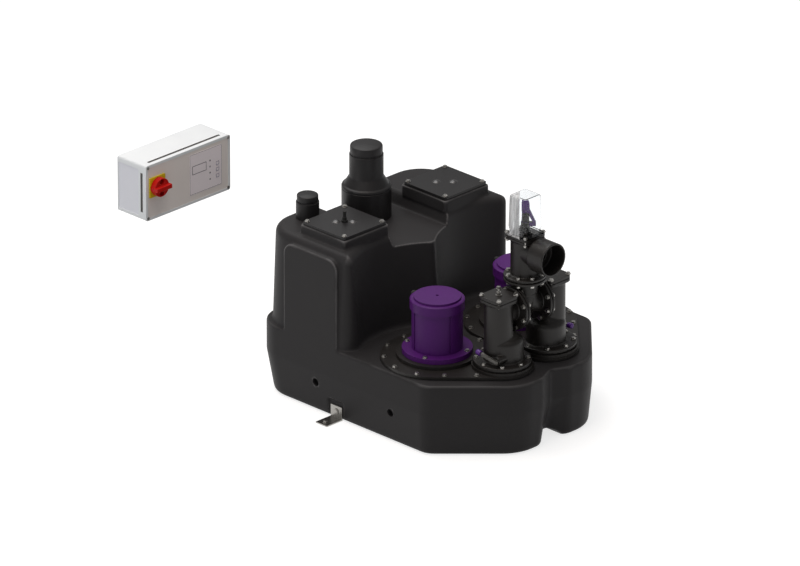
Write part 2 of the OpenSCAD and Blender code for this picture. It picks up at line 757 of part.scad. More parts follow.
module motor_caps() {
    lip = 12;
    color([0.42, 0.20, 0.48])
        for (side = [-1, 1])
            translate([side * pump_x, pump_y, cap_z])
                difference() {
                    union() {
                        cylinder(r = motor_cap_r, h = cap_h - 10);
                        translate([0, 0, cap_h - 10]) cylinder(r1 = motor_cap_r, r2 = motor_cap_r - 4, h = 3);
                        cylinder(r = motor_cap_r - lip, h = cap_h);
                        translate([0, 0, 15]) rotate([-90, 0, 0]) cylinder(r = 13, h = motor_cap_r + 3);
                    }
                    translate([0, 0, -overlap]) cylinder(r = bearing_r + run_gap, h = 22 + overlap);
                    translate([0, 0, -overlap]) cylinder(r = shaft_r + 4, h = 30);
                    translate([0, 0, cap_h - 4]) cylinder(r = 5, h = 5);
                }
}

module motor_bolts() {
    color(stainless)
        for (side = [-1, 1])
            at_unit(side)
                for (a = [0:90:270])
                    rotate([0, 0, a]) translate([motor_bolt_r, 0, motor_z + motor_flange_t]) hex_bolt(bolt_r, motor_flange_t + 13, 0.8);
}

// Cable gland at the back of each end cap
module motor_glands() {
    color(rubber_black)
        for (side = [-1, 1])
            translate([side * pump_x, pump_y + motor_cap_r + 3, cap_z + 15])
                rotate([-90, 0, 0]) {
                    cylinder(r = 12, h = 8, $fn = 6);
                    cylinder(r = 9, h = 18);
                    translate([0, 0, 17]) cylinder(r1 = 9, r2 = 6, h = 5);
                }
}

module stators() {
    color([0.50, 0.36, 0.22])
        for (side = [-1, 1])
            translate([side * pump_x, pump_y, motor_z + motor_flange_t + 24])
                difference() {
                    cylinder(r = stator_r, h = cap_z - motor_z - motor_flange_t - 28);
                    translate([0, 0, -overlap]) cylinder(r = rotor_r + 0.6, h = 200);
                }
}

module bearings() {
    color(stainless)
        for (side = [-1, 1], z = [lower_bearing_z, upper_bearing_z])
            translate([side * pump_x, pump_y, z])
                difference() {
                    cylinder(r = bearing_r, h = bearing_w);
                    translate([0, 0, -overlap]) cylinder(r = shaft_r + run_gap, h = bearing_w + 2 * overlap);
                }
}

module shaft_seals() {
    z = volute_z + volute_h - casing_wall + 1;
    color(rubber_black)
        for (side = [-1, 1])
            translate([side * pump_x, pump_y, z])
                difference() {
                    cylinder(r = seal_r, h = 14);
                    translate([0, 0, -overlap]) cylinder(r = shaft_r + run_gap, h = 20);
                }
}

hub_z = volute_z + 26;
hub_h = volute_h - 26 - casing_wall - 6;

module rotor_shaft(side) {
    top = upper_bearing_z + bearing_w;
    color([0.62, 0.63, 0.65])
        translate([side * pump_x, pump_y, 0]) {
            translate([0, 0, hub_z + 2]) cylinder(r = shaft_r - 3, h = hub_h - 2);
            translate([0, 0, hub_z + hub_h]) cylinder(r = shaft_r, h = top - hub_z - hub_h);
            translate([0, 0, motor_z + motor_flange_t + 28])
                cylinder(r = rotor_r, h = cap_z - motor_z - motor_flange_t - 36);
        }
}

module rotor_shaft_left() { rotor_shaft(-1); }
module rotor_shaft_right() { rotor_shaft(1); }

// Free-flow impeller: a back disc and curved blades hanging from it
module impeller(side) {
    disc_t = 6;
    blade_t = 5;
    disc_z = hub_z + hub_h - disc_t;
    sweep_r = impeller_r * 0.72;
    color([0.45, 0.45, 0.46])
        translate([side * pump_x, pump_y, 0])
            mirror([side > 0 ? 1 : 0, 0, 0])
                difference() {
                    union() {
                        translate([0, 0, disc_z]) cylinder(r = impeller_r, h = disc_t);
                        translate([0, 0, hub_z]) cylinder(r = shaft_r + 9, h = hub_h);
                        for (k = [0:blades - 1])
                            rotate([0, 0, k * 360 / blades])
                                translate([0, 0, disc_z - 24])
                                    linear_extrude(24 + overlap)
                                        polygon(concat(
                                            arc([impeller_r / 2, -sweep_r / 2], sweep_r, 152, -104, 8),
                                            reversed(arc([impeller_r / 2, -sweep_r / 2], sweep_r - blade_t, 152, -104, 8))
                                        ));
                    }
                    translate([0, 0, hub_z - overlap]) cylinder(r = shaft_r - 3 + run_gap, h = hub_h + 2 * overlap);
                    difference() {
                        translate([0, 0, disc_z - 30]) cylinder(r = impeller_r * 2, h = 30 + 2 * disc_t);
                        translate([0, 0, disc_z - 31]) cylinder(r = impeller_r, h = 32 + 2 * disc_t);
                    }
                }
}

module impeller_left() { impeller(-1); }
module impeller_right() { impeller(1); }

// Check valve: base flange, offset bowl with the flap, upper chamber and branch to the wye.
// It is drawn for the left one, and the right one is the same casting turned by 180 degrees.
valve_bolt_r = valve_flange_r - 11.5;
valve_flange_t = 12;
chamber_x = valve_x + 16;
chamber_off = valve_x - chamber_x;
bowl_off = [5, -2];
bowl_z = valve_z + valve_flange_t;
bowl_top = bowl_z + 90;
lid_z = 490;
lid_bore = chamber_r - 9;
lid_t = 10;
lid_w = 94;
lid_bolt = 38;
branch_x = 55;
branch_t = 8;
branch_r = 38.5;
branch_bore = 32;
branch_bolt_r = branch_flange_r - 10;
seat_z = valve_z + 14;
hinge_y = -42;
hinge_z = valve_z + 34;
hinge_r = 5;
lever_x = -75;

module at_valve(side) {
    translate([side * valve_x, valve_y, 0]) rotate([0, 0, side > 0 ? 180 : 0]) children();
}

module valve_body() {
    shoulder = arc([chamber_r - 2, bowl_top - 32], bowl_r - chamber_r + 2, 0, 72, 4);
    inner = bowl_r - 9;
    difference() {
        union() {
            translate([0, 0, valve_z]) cylinder(r = valve_flange_r, h = valve_flange_t);
            translate([bowl_off.x, bowl_off.y, 0])
                rotate_extrude($fn = 72)
                    polygon(concat([[0, bowl_z - overlap], [bowl_r, bowl_z - overlap]], shoulder,
                                   [[chamber_r - 12, bowl_top], [0, bowl_top]]));
            translate([chamber_off, 0, bowl_z + 20]) cylinder(r = chamber_r, h = lid_z - bowl_z - 24);
            translate([chamber_off, 0, lid_z - 13]) linear_extrude(11) polygon(rounded_rect(lid_w, lid_w, 16, 5));
            translate([0, 0, branch_z]) rotate([0, 90, 0]) {
                translate([0, 0, chamber_off]) cylinder(r = branch_r, h = valve_x - branch_x - chamber_off - gasket_t);
                translate([0, 0, valve_x - branch_x - gasket_t / 2 - branch_t]) cylinder(r = branch_flange_r, h = branch_t);
            }
            translate([lever_x + 8, hinge_y, hinge_z]) rotate([0, 90, 0]) cylinder(r = 13, h = 42);
        }
        translate([0, 0, valve_z - overlap]) cylinder(r = valve_bore, h = 60);
        translate([bowl_off.x, bowl_off.y, 0]) {
            translate([0, 0, seat_z]) cylinder(r = inner, h = bowl_top - 34 - seat_z);
            translate([0, 0, bowl_top - 35]) cylinder(r1 = inner, r2 = lid_bore - 2, h = 24);
        }
        translate([chamber_off, 0, seat_z + 40]) cylinder(r = lid_bore, h = lid_z);
        translate([chamber_off, 0, branch_z]) rotate([0, 90, 0]) cylinder(r = branch_bore, h = 200);
        translate([lever_x, hinge_y, hinge_z]) rotate([0, 90, 0]) cylinder(r = hinge_r + run_gap, h = 60);
        for (a = [0:45:315])
            rotate([0, 0, a]) translate([valve_bolt_r, 0, valve_z - overlap]) cylinder(r = bolt_r + bolt_gap, h = valve_flange_t + 2 * overlap);
        for (sx = [-1, 1], sy = [-1, 1])
            translate([chamber_off + sx * lid_bolt, sy * lid_bolt, lid_z - 20]) cylinder(r = bolt_r + bolt_gap, h = 40);
        for (k = [0:7])
            translate([valve_x - branch_x - gasket_t - branch_t - 2, 0, branch_z])
                rotate([22.5 + 45 * k, 0, 0]) translate([0, 0, branch_bolt_r]) rotate([0, 90, 0])
                    cylinder(r = bolt_r + bolt_gap, h = branch_t + 10);
    }
}

module valve_body_left() { color(cast_black) at_valve(-1) valve_body(); }
module valve_body_right() { color(cast_black) at_valve(1) valve_body(); }

module valve_base_bolts() {
    color(stainless)
        for (side = [-1, 1])
            at_valve(side)
                for (a = [0:45:315])
                    rotate([0, 0, a]) translate([valve_bolt_r, 0, valve_z + valve_flange_t]) hex_bolt(bolt_r, valve_flange_t + gasket_t + 8);
}

// Flap: a disc that rests on the seat, and the arm that clamps it to its shaft
flap_r = valve_bore + 4;
flap_t = 7;

module valve_flap() {
    difference() {
        union() {
            translate([0, 0, seat_z + 0.3]) cylinder(r = flap_r, h = flap_t);
            translate([-9, hinge_y, seat_z + 2]) cube([18, -hinge_y, flap_t + 6]);
            translate([-12, hinge_y, hinge_z]) rotate([0, 90, 0]) cylinder(r = hinge_r + 5, h = 24);
        }
        translate([-20, hinge_y, hinge_z]) rotate([0, 90, 0]) cylinder(r = hinge_r + run_gap, h = 40);
    }
}

module valve_flap_left() { color([0.30, 0.30, 0.31]) at_valve(-1) valve_flap(); }
module valve_flap_right() { color([0.30, 0.30, 0.31]) at_valve(1) valve_flap(); }

// Flap shaft: it runs out through the bowl's wall and carries the lifting lever outside
lever_len = 62;

module flap_shaft() {
    translate([lever_x - 4, hinge_y, hinge_z]) rotate([0, 90, 0]) cylinder(r = hinge_r, h = 92);
    translate([lever_x, hinge_y, hinge_z])
        rotate([8, 0, 0])
            translate([-4, -9, -5]) cube([8, lever_len + 9, 10]);
}

module flap_shaft_left() { color(stainless) at_valve(-1) flap_shaft(); }
module flap_shaft_right() { color(stainless) at_valve(1) flap_shaft(); }

module lever_grip() {
    translate([lever_x, hinge_y, hinge_z])
        rotate([8, 0, 0])
            translate([0, lever_len, 0])
                rotate([-90, 0, 0]) {
                    cylinder(r = 9, h = 16);
                    translate([0, 0, 16]) cylinder(r1 = 9, r2 = 6, h = 3);
                }
}

module lever_grip_left() { color(motor_purple) at_valve(-1) lever_grip(); }
module lever_grip_right() { color(motor_purple) at_valve(1) lever_grip(); }

module valve_lid(side) {
    color(cast_black)
        at_valve(side)
            translate([chamber_off, 0, lid_z])
                difference() {
                    union() {
                        linear_extrude(lid_t) polygon(rounded_rect(lid_w, lid_w, 16, 5));
                        translate([0, 0, -8]) cylinder(r = lid_bore - fit_gap, h = 9);
                    }
                    for (sx = [-1, 1], sy = [-1, 1])
                        translate([sx * lid_bolt, sy * lid_bolt, -overlap]) cylinder(r = bolt_r + bolt_gap, h = 20);
                    if (side < 0) translate([0, 0, lid_t - 8]) cylinder(r = 5 + fit_gap, h = 20);
                }
}

module valve_lid_left() { valve_lid(-1); }
module valve_lid_right() { valve_lid(1); }

module lid_bolts() {
    color(stainless)
        for (side = [-1, 1])
            at_valve(side)
                for (sx = [-1, 1], sy = [-1, 1])
                    translate([chamber_off + sx * lid_bolt, sy * lid_bolt, lid_z + lid_t]) hex_bolt(bolt_r, lid_t + 14);
}

module vent_screw() {
    color(stainless)
        at_valve(-1)
            translate([chamber_off, 0, lid_z + lid_t]) {
                translate([0, 0, -7]) cylinder(r = 5, h = 12);
                cylinder(r = 10, h = 2.5);
                translate([0, 0, 5]) cylinder(r = 8, h = 7, $fn = 6);
                translate([0, 0, 12]) cylinder(r = 3.5, h = 7);
            }
}

// Wye: two elbows that rise from the branch flanges into one upright neck
wye_bend = branch_x - gasket_t / 2 - branch_t;
head_bore = 36;
pair_t = 9;

module elbow(r) {
    bend = wye_bend - 1;
    translate([-wye_bend - 1, 0, branch_z + bend])
        rotate([90, 0, 0])
            rotate([0, 0, -90])
                rotate_extrude(angle = 90, $fn = 64) translate([bend, 0]) circle(r = r);
}

module wye_pipe() {
    neck_z = branch_z + wye_bend - 3;
    color(cast_black)
        translate([0, valve_y, 0])
            difference() {
                union() {
                    for (m = [0, 1])
                        mirror([m, 0, 0]) {
                            elbow(branch_r);
                            translate([-wye_bend - branch_t, 0, branch_z]) rotate([0, 90, 0])
                                cylinder(r = branch_flange_r, h = branch_t);
                        }
                    translate([0, 0, neck_z]) cylinder(r = branch_r + 3, h = pair_z - neck_z - gasket_t / 2);
                    translate([0, 0, pair_z - gasket_t / 2 - pair_t]) cylinder(r = pair_r, h = pair_t);
                }
                for (m = [0, 1])
                    mirror([m, 0, 0]) {
                        elbow(branch_bore);
                        translate([-wye_bend - branch_t - overlap, 0, branch_z]) rotate([0, 90, 0])
                            cylinder(r = branch_bore + 0.5, h = branch_t + 0.5);
                        for (k = [0:7])
                            translate([-wye_bend - branch_t - overlap, 0, branch_z])
                                rotate([22.5 + 45 * k, 0, 0]) translate([0, 0, branch_bolt_r]) rotate([0, 90, 0])
                                    cylinder(r = bolt_r + bolt_gap, h = branch_t + 2 * overlap);
                    }
                translate([0, 0, neck_z + 1]) cylinder(r = branch_bore + 2.6, h = 60);
                for (k = [0:7])
                    rotate([0, 0, 22.5 + 45 * k]) translate([pair_bolt_r, 0, pair_z - 20])
                        cylinder(r = bolt_r + bolt_gap, h = 40);
            }
}

pair_bolt_r = pair_r - 11.5;

module branch_bolts() {
    grip = 2 * branch_t + gasket_t;
    color(stainless)
        for (m = [0, 1], k = [0:7])
            mirror([m, 0, 0])
                translate([-branch_x - grip / 2, valve_y, branch_z])
                    rotate([22.5 + 45 * k, 0, 0]) translate([0, 0, branch_bolt_r]) rotate([0, -90, 0]) {
                        hex_bolt(bolt_r, grip + 7);
                        translate([0, 0, -grip]) hex_nut(bolt_r);
                    }
}

// Discharge head: upright body, outlet spigot to the front and square flange for the shut-off
head_top = outlet_z + 46;
plug_r = 33;
plug_z = outlet_z - 34;
outlet_neck = 60;

module discharge_head() {
    color(cast_black)
        translate([0, valve_y, 0])
            difference() {
                union() {
                    translate([0, 0, pair_z + gasket_t / 2]) cylinder(r = pair_r, h = pair_t);
                    translate([0, 0, pair_z + gasket_t / 2 + 1]) cylinder(r = head_r, h = head_top - pair_z - 5);
                    translate([0, 0, head_top - 8]) linear_extrude(8) polygon(rounded_rect(bonnet_w, bonnet_w, 15, 5));
                    translate([0, 0, outlet_z]) rotate([90, 0, 0]) {
                        cylinder(r = outlet_r - 12, h = outlet_neck);
                        translate([0, 0, outlet_neck - 8]) cylinder(r1 = outlet_r - 12, r2 = outlet_r, h = 8);
                        translate([0, 0, outlet_neck - 0.5]) cylinder(r = outlet_r, h = outlet_reach - outlet_neck + 0.5);
                    }
                }
                translate([0, 0, pair_z]) cylinder(r = plug_r - 5, h = 80);
                translate([0, 0, plug_z - 0.5]) cylinder(r = plug_r + run_gap, h = 200);
                translate([0, 0, outlet_z]) rotate([90, 0, 0]) {
                    cylinder(r = plug_r - 7, h = outlet_reach);
                    translate([0, 0, outlet_neck + 8]) cylinder(r = outlet_r - 5.5, h = outlet_reach);
                }
                for (k = [0:7])
                    rotate([0, 0, 22.5 + 45 * k]) translate([pair_bolt_r, 0, pair_z]) cylinder(r = bolt_r + bolt_gap, h = 16);
                for (sx = [-1, 1], sy = [-1, 1])
                    translate([sx * bonnet_bolt, sy * bonnet_bolt, head_top - 10]) cylinder(r = bolt_r + bolt_gap, h = 20);
            }
}

module head_bolts() {
    grip = 2 * pair_t + gasket_t;
    color(stainless)
        for (k = [0:7])
            translate([0, valve_y, pair_z + grip / 2])
                rotate([0, 0, 22.5 + 45 * k]) translate([pair_bolt_r, 0, 0]) {
                    hex_bolt(bolt_r, grip + 7);
                    translate([0, 0, -grip]) hex_nut(bolt_r);
                }
}

// Bonnet: the plate over the plug, with the block that guides its stem
bonnet_bolt = bonnet_w / 2 - 8;
bonnet_z = head_top + 2;
bonnet_t = 7;
block_h = 26;
stem_r = 7;

module bonnet() {
    color(cast_black)
        translate([0, valve_y, bonnet_z])
            difference() {
                union() {
                    linear_extrude(bonnet_t) polygon(rounded_rect(bonnet_w, bonnet_w, 15, 5));
                    cylinder(r = 24, h = bonnet_t + 6);
                    cylinder(r = 15, h = bonnet_t + block_h);
                }
                translate([0, 0, -overlap]) cylinder(r = stem_r + run_gap, h = 80);
                for (sx = [-1, 1], sy = [-1, 1])
                    translate([sx * bonnet_bolt, sy * bonnet_bolt, -overlap]) cylinder(r = bolt_r + bolt_gap, h = 20);
            }
}

// Shut-off plug: a cup with an open bottom and one side port, turned by its stem
module shutoff_plug() {
    top = head_top + 1.4;
    color([0.55, 0.45, 0.25])
        translate([0, valve_y, 0])
            difference() {
                union() {
                    translate([0, 0, plug_z]) cylinder(r = plug_r, h = head_top - plug_z - 2);
                    translate([0, 0, head_top - 3]) cylinder(r = stem_r, h = bonnet_z + bonnet_t + block_h + 14 - head_top + 3);
                }
                translate([0, 0, plug_z - overlap]) cylinder(r = plug_r - 6, h = head_top - plug_z - 10);
                translate([0, 0, outlet_z]) rotate([90, 0, 0]) cylinder(r = plug_r - 8, h = 60);
            }
}

// Shut-off handle: a hub on the stem and two legs that lean together into a grip
handle_z = bonnet_z + bonnet_t + block_h + 1;
handle_top = hood_top - 20;
handle_t = 12;

module shutoff_handle() {
    rise = handle_top - handle_z;
    left_leg = [[-11, 12], [-1, 12], [2, rise - 34], [-10, rise - 34]];
    right_leg = [[24, 12], [33, 12], [13, rise - 30], [2, rise - 34]];
    grip = [[-11, rise - 36], [13, rise - 36], [13, rise - 12], [9, rise], [-11, rise]];
    color(motor_purple)
        translate([0, valve_y, handle_z])
            rotate([0, 0, -45])
                difference() {
                    union() {
                        cylinder(r = 13, h = 14);
                        translate([-11, -handle_t / 2, 0]) cube([44, handle_t, 13]);
                        for (outline = [left_leg, right_leg, grip])
                            translate([0, handle_t / 2, 0])
                                rotate([90, 0, 0]) linear_extrude(handle_t) polygon(outline);
                    }
                    translate([0, 0, -overlap]) cylinder(r = stem_r + run_gap, h = 14);
                }
}

// Clear hood: a tapering rounded cup with a foot flange, over the handle
hood_w = 85;
hood_top_w = 75;
hood_z = bonnet_z + bonnet_t;
hood_foot_t = 4;

module clear_hood() {
    corner = 26;
    dome = 12;
    steps = [
        [0, 0], [0, hood_top - hood_z - dome], each [for (a = [30:30:90]) [dome * (1 - cos(a)), hood_top - hood_z - dome * (1 - sin(a))]]
    ];
    inner_steps = [
        [0, -overlap], [0, hood_top - hood_z - dome], each [for (a = [45:45:90]) [(dome - hood_wall) * (1 - cos(a)), hood_top - hood_z - dome + (dome - hood_wall) * sin(a)]]
    ];
    function hood_loop(shrink, h, wall) =
        let (w = lerp(hood_w, hood_top_w, h / (hood_top - hood_z)) - 2 * shrink - 2 * wall)
        rounded_rect(w, w, max(corner - shrink - wall, 4), 5);
    color([0.85, 0.90, 0.92, 0.35])
        translate([0, valve_y, hood_z])
            difference() {
                union() {
                    loft([for (s = steps) hood_loop(s[0], s[1], 0)], [for (s = steps) s[1]]);
                    linear_extrude(hood_foot_t) polygon(rounded_rect(bonnet_w, bonnet_w, 15, 5));
                }
                loft([for (s = inner_steps) hood_loop(s[0], s[1], hood_wall)], [for (s = inner_steps) s[1]]);
                for (sx = [-1, 1], sy = [-1, 1])
                    translate([sx * bonnet_bolt, sy * bonnet_bolt, -overlap]) cylinder(r = bolt_r + bolt_gap, h = 20);
            }
}

module hood_bolts() {
    grip = 8 + 2 + bonnet_t + hood_foot_t;
    color(stainless)
        for (sx = [-1, 1], sy = [-1, 1])
            translate([sx * bonnet_bolt, valve_y + sy * bonnet_bolt, hood_z + hood_foot_t]) {
                hex_bolt(bolt_r * 0.9, grip + 7);
                translate([0, 0, -grip]) hex_nut(bolt_r * 0.9);
            }
}

// Floor brackets: stainless angles screwed to the tank and to the floor
leg_x = side_x - pocket_depth;
foot_hole_x = side_x + 38;

module floor_brackets() {
    color(stainless)
        for (m = [0, 1])
            mirror([m, 0, 0])
                difference() {
                    union() {
                        translate([leg_x, bracket_y - bracket_w / 2, 0]) cube([bracket_t, bracket_w, bracket_h]);
                        translate([leg_x, bracket_y - bracket_w / 2, 0])
                            cube([side_x + bracket_reach - leg_x, bracket_w, bracket_t]);
                    }
                    translate([leg_x - overlap, bracket_y, 26]) rotate([0, 90, 0]) cylinder(r = 5.5, h = 20);
                    translate([foot_hole_x, bracket_y, -overlap]) cylinder(r = 5.5, h = 20);
                }
}

module anchor_screws() {
    color(stainless)
        for (m = [0, 1])
            mirror([m, 0, 0]) {
                translate([foot_hole_x, bracket_y, bracket_t]) hex_bolt(5, bracket_t, 0.9);
                translate([leg_x + bracket_t, bracket_y, 26]) rotate([0, 90, 0]) hex_bolt(5, bracket_t, 0.5);
            }
}

// Control unit, drawn with u to the right along its front, v up and q back into the wall
cover_q = 28;
groove_q = 15;
groove_w = 10;
groove_t = 2.8;
box_r = 8;

module at_box() { translate(box_at) children(); }

module front_slab(w, h, r, q0, q1) {
    translate([box_w / 2, q1, box_h / 2]) rotate([90, 0, 0]) linear_extrude(q1 - q0) polygon(rounded_rect(w, h, r, 4));
}

knob_at = [48, box_h - 79];
membrane_at = [box_w - 108, box_h / 2 + 4.5];
membrane_size = [142, box_h - 51];
key_u = box_w - 57;
key_vs = membrane_at[1] * [1, 1, 1] + [9.5, -12, -33.5];

module control_case() {
    color(case_grey)
        at_box()
            difference() {
                front_slab(box_w, box_h, box_r, cover_q, box_d);
                front_slab(box_w - 2 * box_wall, box_h - 2 * box_wall, box_r - 2, cover_q - overlap, box_d - box_wall);
                for (k = [0:3])
                    translate([60 + 45 * k, box_d / 2 + 10, -overlap]) cylinder(r = 8 + fit_gap, h = box_wall + 2 * overlap);
                for (u = [60, box_w - 60])
                    translate([u, box_d - box_wall - overlap, box_h - 30]) rotate([-90, 0, 0]) cylinder(r = 3, h = 10);
            }
}

module control_cover() {
    color([0.60, 0.58, 0.56])
        at_box()
            difference() {
                front_slab(box_w, box_h, box_r, 0, cover_q);
                front_slab(box_w - 2 * box_wall, box_h - 2 * box_wall, box_r - 2, 6, cover_q + overlap);
                front_slab(box_w - 18, box_h - 18, box_r - 3, -overlap, 1.2);
                for (v = [-overlap, box_h - groove_t])
                    translate([box_r + 20, groove_q, v]) cube([box_w - 2 * box_r - 40, groove_w, groove_t + overlap]);
                for (u = [-overlap, box_w - groove_t])
                    translate([u, groove_q, box_r + 20]) cube([groove_t + overlap, groove_w, box_h - 2 * box_r - 40]);
                translate([knob_at.x, -overlap, knob_at[1]]) rotate([-90, 0, 0]) cylinder(r = 6.3, h = 20);
                for (v = key_vs)
                    translate([key_u - key_w / 2 - fit_gap, -overlap, v - key_w / 2 - fit_gap])
                        cube([key_w + 2 * fit_gap, 20, key_w + 2 * fit_gap]);
                for (v = [9, box_h - 9], u = [9, box_w - 9])
                    translate([u, -overlap, v]) rotate([-90, 0, 0]) cylinder(r = 2.8, h = 30);
            }
}

module cover_screws() {
    color(stainless)
        at_box()
            for (v = [9, box_h - 9], u = [9, box_w - 9])
                translate([u, 0, v]) rotate([90, 0, 0]) {
                    difference() {
                        cylinder(r = 5, h = 1.5);
                        translate([-6, -0.7, 0.7]) cube([12, 1.4, 2]);
                    }
                    translate([0, 0, -5.5]) cylinder(r = 2.5, h = 6);
                }
}

plate_side = 68;

module switch_plate() {
    color([0.80, 0.72, 0.15])
        at_box()
            translate([knob_at.x, 1.2, knob_at[1]])
                rotate([90, 0, 0])
                    difference() {
                        linear_extrude(5.2) polygon(rounded_rect(plate_side, plate_side, 3, 3));
                        translate([0, 0, -overlap]) cylinder(r = 6.3, h = 20);
                    }
}

// Rotary main switch: a spindle, a scalloped disc and a grip bar across it
module switch_knob() {
    color([0.75, 0.06, 0.03])
        at_box()
            translate([knob_at.x, -4.3, knob_at[1]])
                rotate([90, 0, 0])
                    difference() {
                        union() {
                            translate([0, 0, -22]) cylinder(r = 6, h = 24);
                            cylinder(r = knob_r, h = 20);
                            translate([-knob_r - 2, -7, 0]) cube([2 * knob_r + 4, 14, 32]);
                        }
                        for (s = [-1, 1])
                            translate([0, s * (knob_r * 0.62), 8]) cylinder(r = knob_r * 0.3, h = 20);
                    }
}

module membrane_panel() {
    color([0.65, 0.62, 0.63])
        at_box()
            translate([membrane_at.x, 1.2, membrane_at[1]])
                rotate([90, 0, 0])
                    difference() {
                        linear_extrude(1) polygon(rounded_rect(membrane_size.x, membrane_size.y, 4, 3));
                        for (v = key_vs)
                            translate([key_u - membrane_at.x, v - membrane_at[1], 0])
                                translate([-key_w / 2 - fit_gap, -key_w / 2 - fit_gap, -overlap])
                                    cube([key_w + 2 * fit_gap, key_w + 2 * fit_gap, 4]);
                    }
}

module key(row) {
    color([0.55, 0.53, 0.62])
        at_box()
            translate([key_u, 8, key_vs[row]])
                rotate([90, 0, 0]) {
                    linear_extrude(9.2) polygon(rounded_rect(key_w, key_w, 1.5, 2));
                    translate([0, 0, -3]) cylinder(r = 3, h = 4);
                }
}

module key_upper() { key(0); }
module key_middle() { key(1); }
module key_lower() { key(2); }

module control_glands() {
    color(rubber_black)
        at_box()
            for (k = [0:3])
                translate([60 + 45 * k, box_d / 2 + 10, 0]) {
                    translate([0, 0, -8]) cylinder(r = 12, h = 8, $fn = 6);
                    translate([0, 0, -15]) cylinder(r1 = 7, r2 = 10, h = 8);
                    translate([0, 0, -2]) cylinder(r = 8, h = box_wall + 4);
                    translate([0, 0, box_wall]) cylinder(r = 11, h = 5, $fn = 6);
                }
}

module circuit_board() {
    board = [150, 140];
    color([0.10, 0.35, 0.18])
        at_box()
            translate([box_w - board.x - 30, 30, (box_h - board.y) / 2]) {
                cube([board.x, 1.6, board.y]);
                for (k = [0:4]) translate([12 + 26 * k, 1, 14]) cube([16, 16, 12]);
                translate([20, 1, 60]) cube([46, 28, 34]);
                for (u = [8, board.x - 8], v = [8, board.y - 8])
                    translate([u, 1, v]) rotate([-90, 0, 0]) cylinder(r = 4, h = box_d - box_wall - 31);
            }
}

tank_shell();
inlet_spigot();
vent_spigot();
inspection_cover_left();
inspection_cover_right();
gaskets();
cover_bolts();
level_gland();
level_bell();
pump_plate_left();
pump_plate_right();
plate_bolts();
suction_rings();
motor_housing_left();
motor_housing_right();
motor_caps();
motor_bolts();
motor_glands();
stators();
bearings();
shaft_seals();
rotor_shaft_left();
rotor_shaft_right();
impeller_left();
impeller_right();
valve_body_left();
valve_body_right();
valve_base_bolts();
valve_flap_left();
valve_flap_right();
flap_shaft_left();
flap_shaft_right();
lever_grip_left();
lever_grip_right();
valve_lid_left();
valve_lid_right();
lid_bolts();
vent_screw();
wye_pipe();
branch_bolts();
discharge_head();
head_bolts();
bonnet();
shutoff_plug();
shutoff_handle();
clear_hood();
hood_bolts();
floor_brackets();
anchor_screws();
control_case();
control_cover();
cover_screws();
switch_plate();
switch_knob();
membrane_panel();
key_upper();
key_middle();
key_lower();
control_glands();
circuit_board();
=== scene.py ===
# Twin-pump sewage lifting station: a black moulded tank with purple motors, cast check valves,
# a clear hood over the shut-off, and a grey control unit for the wall. Metres, Z up; the pieces'
# own sizes are in millimetres.

import bmesh
import bpy
import numpy as np
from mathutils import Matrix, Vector


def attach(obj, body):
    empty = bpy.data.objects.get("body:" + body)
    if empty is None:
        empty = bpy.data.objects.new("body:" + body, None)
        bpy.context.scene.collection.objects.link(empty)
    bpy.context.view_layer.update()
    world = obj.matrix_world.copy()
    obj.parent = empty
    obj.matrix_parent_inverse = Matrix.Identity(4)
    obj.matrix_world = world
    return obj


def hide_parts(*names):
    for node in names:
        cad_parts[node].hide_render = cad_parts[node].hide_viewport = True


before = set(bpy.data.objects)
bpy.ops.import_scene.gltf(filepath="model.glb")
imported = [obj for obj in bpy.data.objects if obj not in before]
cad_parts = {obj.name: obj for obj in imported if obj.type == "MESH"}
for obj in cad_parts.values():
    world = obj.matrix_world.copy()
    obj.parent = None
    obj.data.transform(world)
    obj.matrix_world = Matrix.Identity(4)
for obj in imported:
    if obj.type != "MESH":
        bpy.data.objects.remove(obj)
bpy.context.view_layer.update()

# Camera: the photograph was taken with a long lens from the front left, 45 degrees round and
# 23.8 degrees up. 2.55 m of the scene fill the picture's width.
scene = bpy.context.scene
scene.view_settings.view_transform = "Standard"
lens_mm, sensor_mm, seen_width = 600, 36, 2.55
aim = Vector((0.0, 0.2086, 0.3315))
towards_camera = Vector((-0.6470, -0.6470, 0.4035)).normalized()
camera_data = bpy.data.cameras.new("camera")
camera_data.lens = lens_mm
camera_data.sensor_width = sensor_mm
camera_data.clip_start, camera_data.clip_end = 1, 100
camera = bpy.data.objects.new("camera", camera_data)
camera.location = aim + towards_camera * seen_width * lens_mm / sensor_mm
camera.rotation_euler = (-towards_camera).to_track_quat("-Z", "Y").to_euler()
scene.collection.objects.link(camera)
scene.camera = camera


# Floor: a wide sheet of white studio paper, half a millimetre below the tank. It looks white to
# the camera, in gloss and through the clear hood, and its matt side keeps the station's shadow.
floor_half, floor_z = 30, -0.0005


def add(material, kind, settings=(), links=()):
    """Adds one node. Settings are (socket or attribute, value) pairs and links are (socket,
    source output) pairs."""
    node = material.node_tree.nodes.new(kind)
    for key, value in settings:
        if isinstance(key, int) or key in node.inputs:
            node.inputs[key].default_value = value
        else:
            setattr(node, key, value)
    for socket, source in links:
        material.node_tree.links.new(source, node.inputs[socket])
    return node


def new_material(name):
    """An empty node material and its output node."""
    material = bpy.data.materials.new(name)
    material.use_nodes = True
    material.node_tree.nodes.clear()
    return material, add(material, "ShaderNodeOutputMaterial")


def mesh_object(name, points, faces):
    """A mesh at the origin from points in metres and faces, shaded smooth."""
    mesh = bpy.data.meshes.new(name)
    mesh.from_pydata(np.asarray(points).tolist(), [], [list(map(int, f)) for f in faces])
    mesh.shade_smooth()
    piece = bpy.data.objects.new(name, mesh)
    scene.collection.objects.link(piece)
    return piece


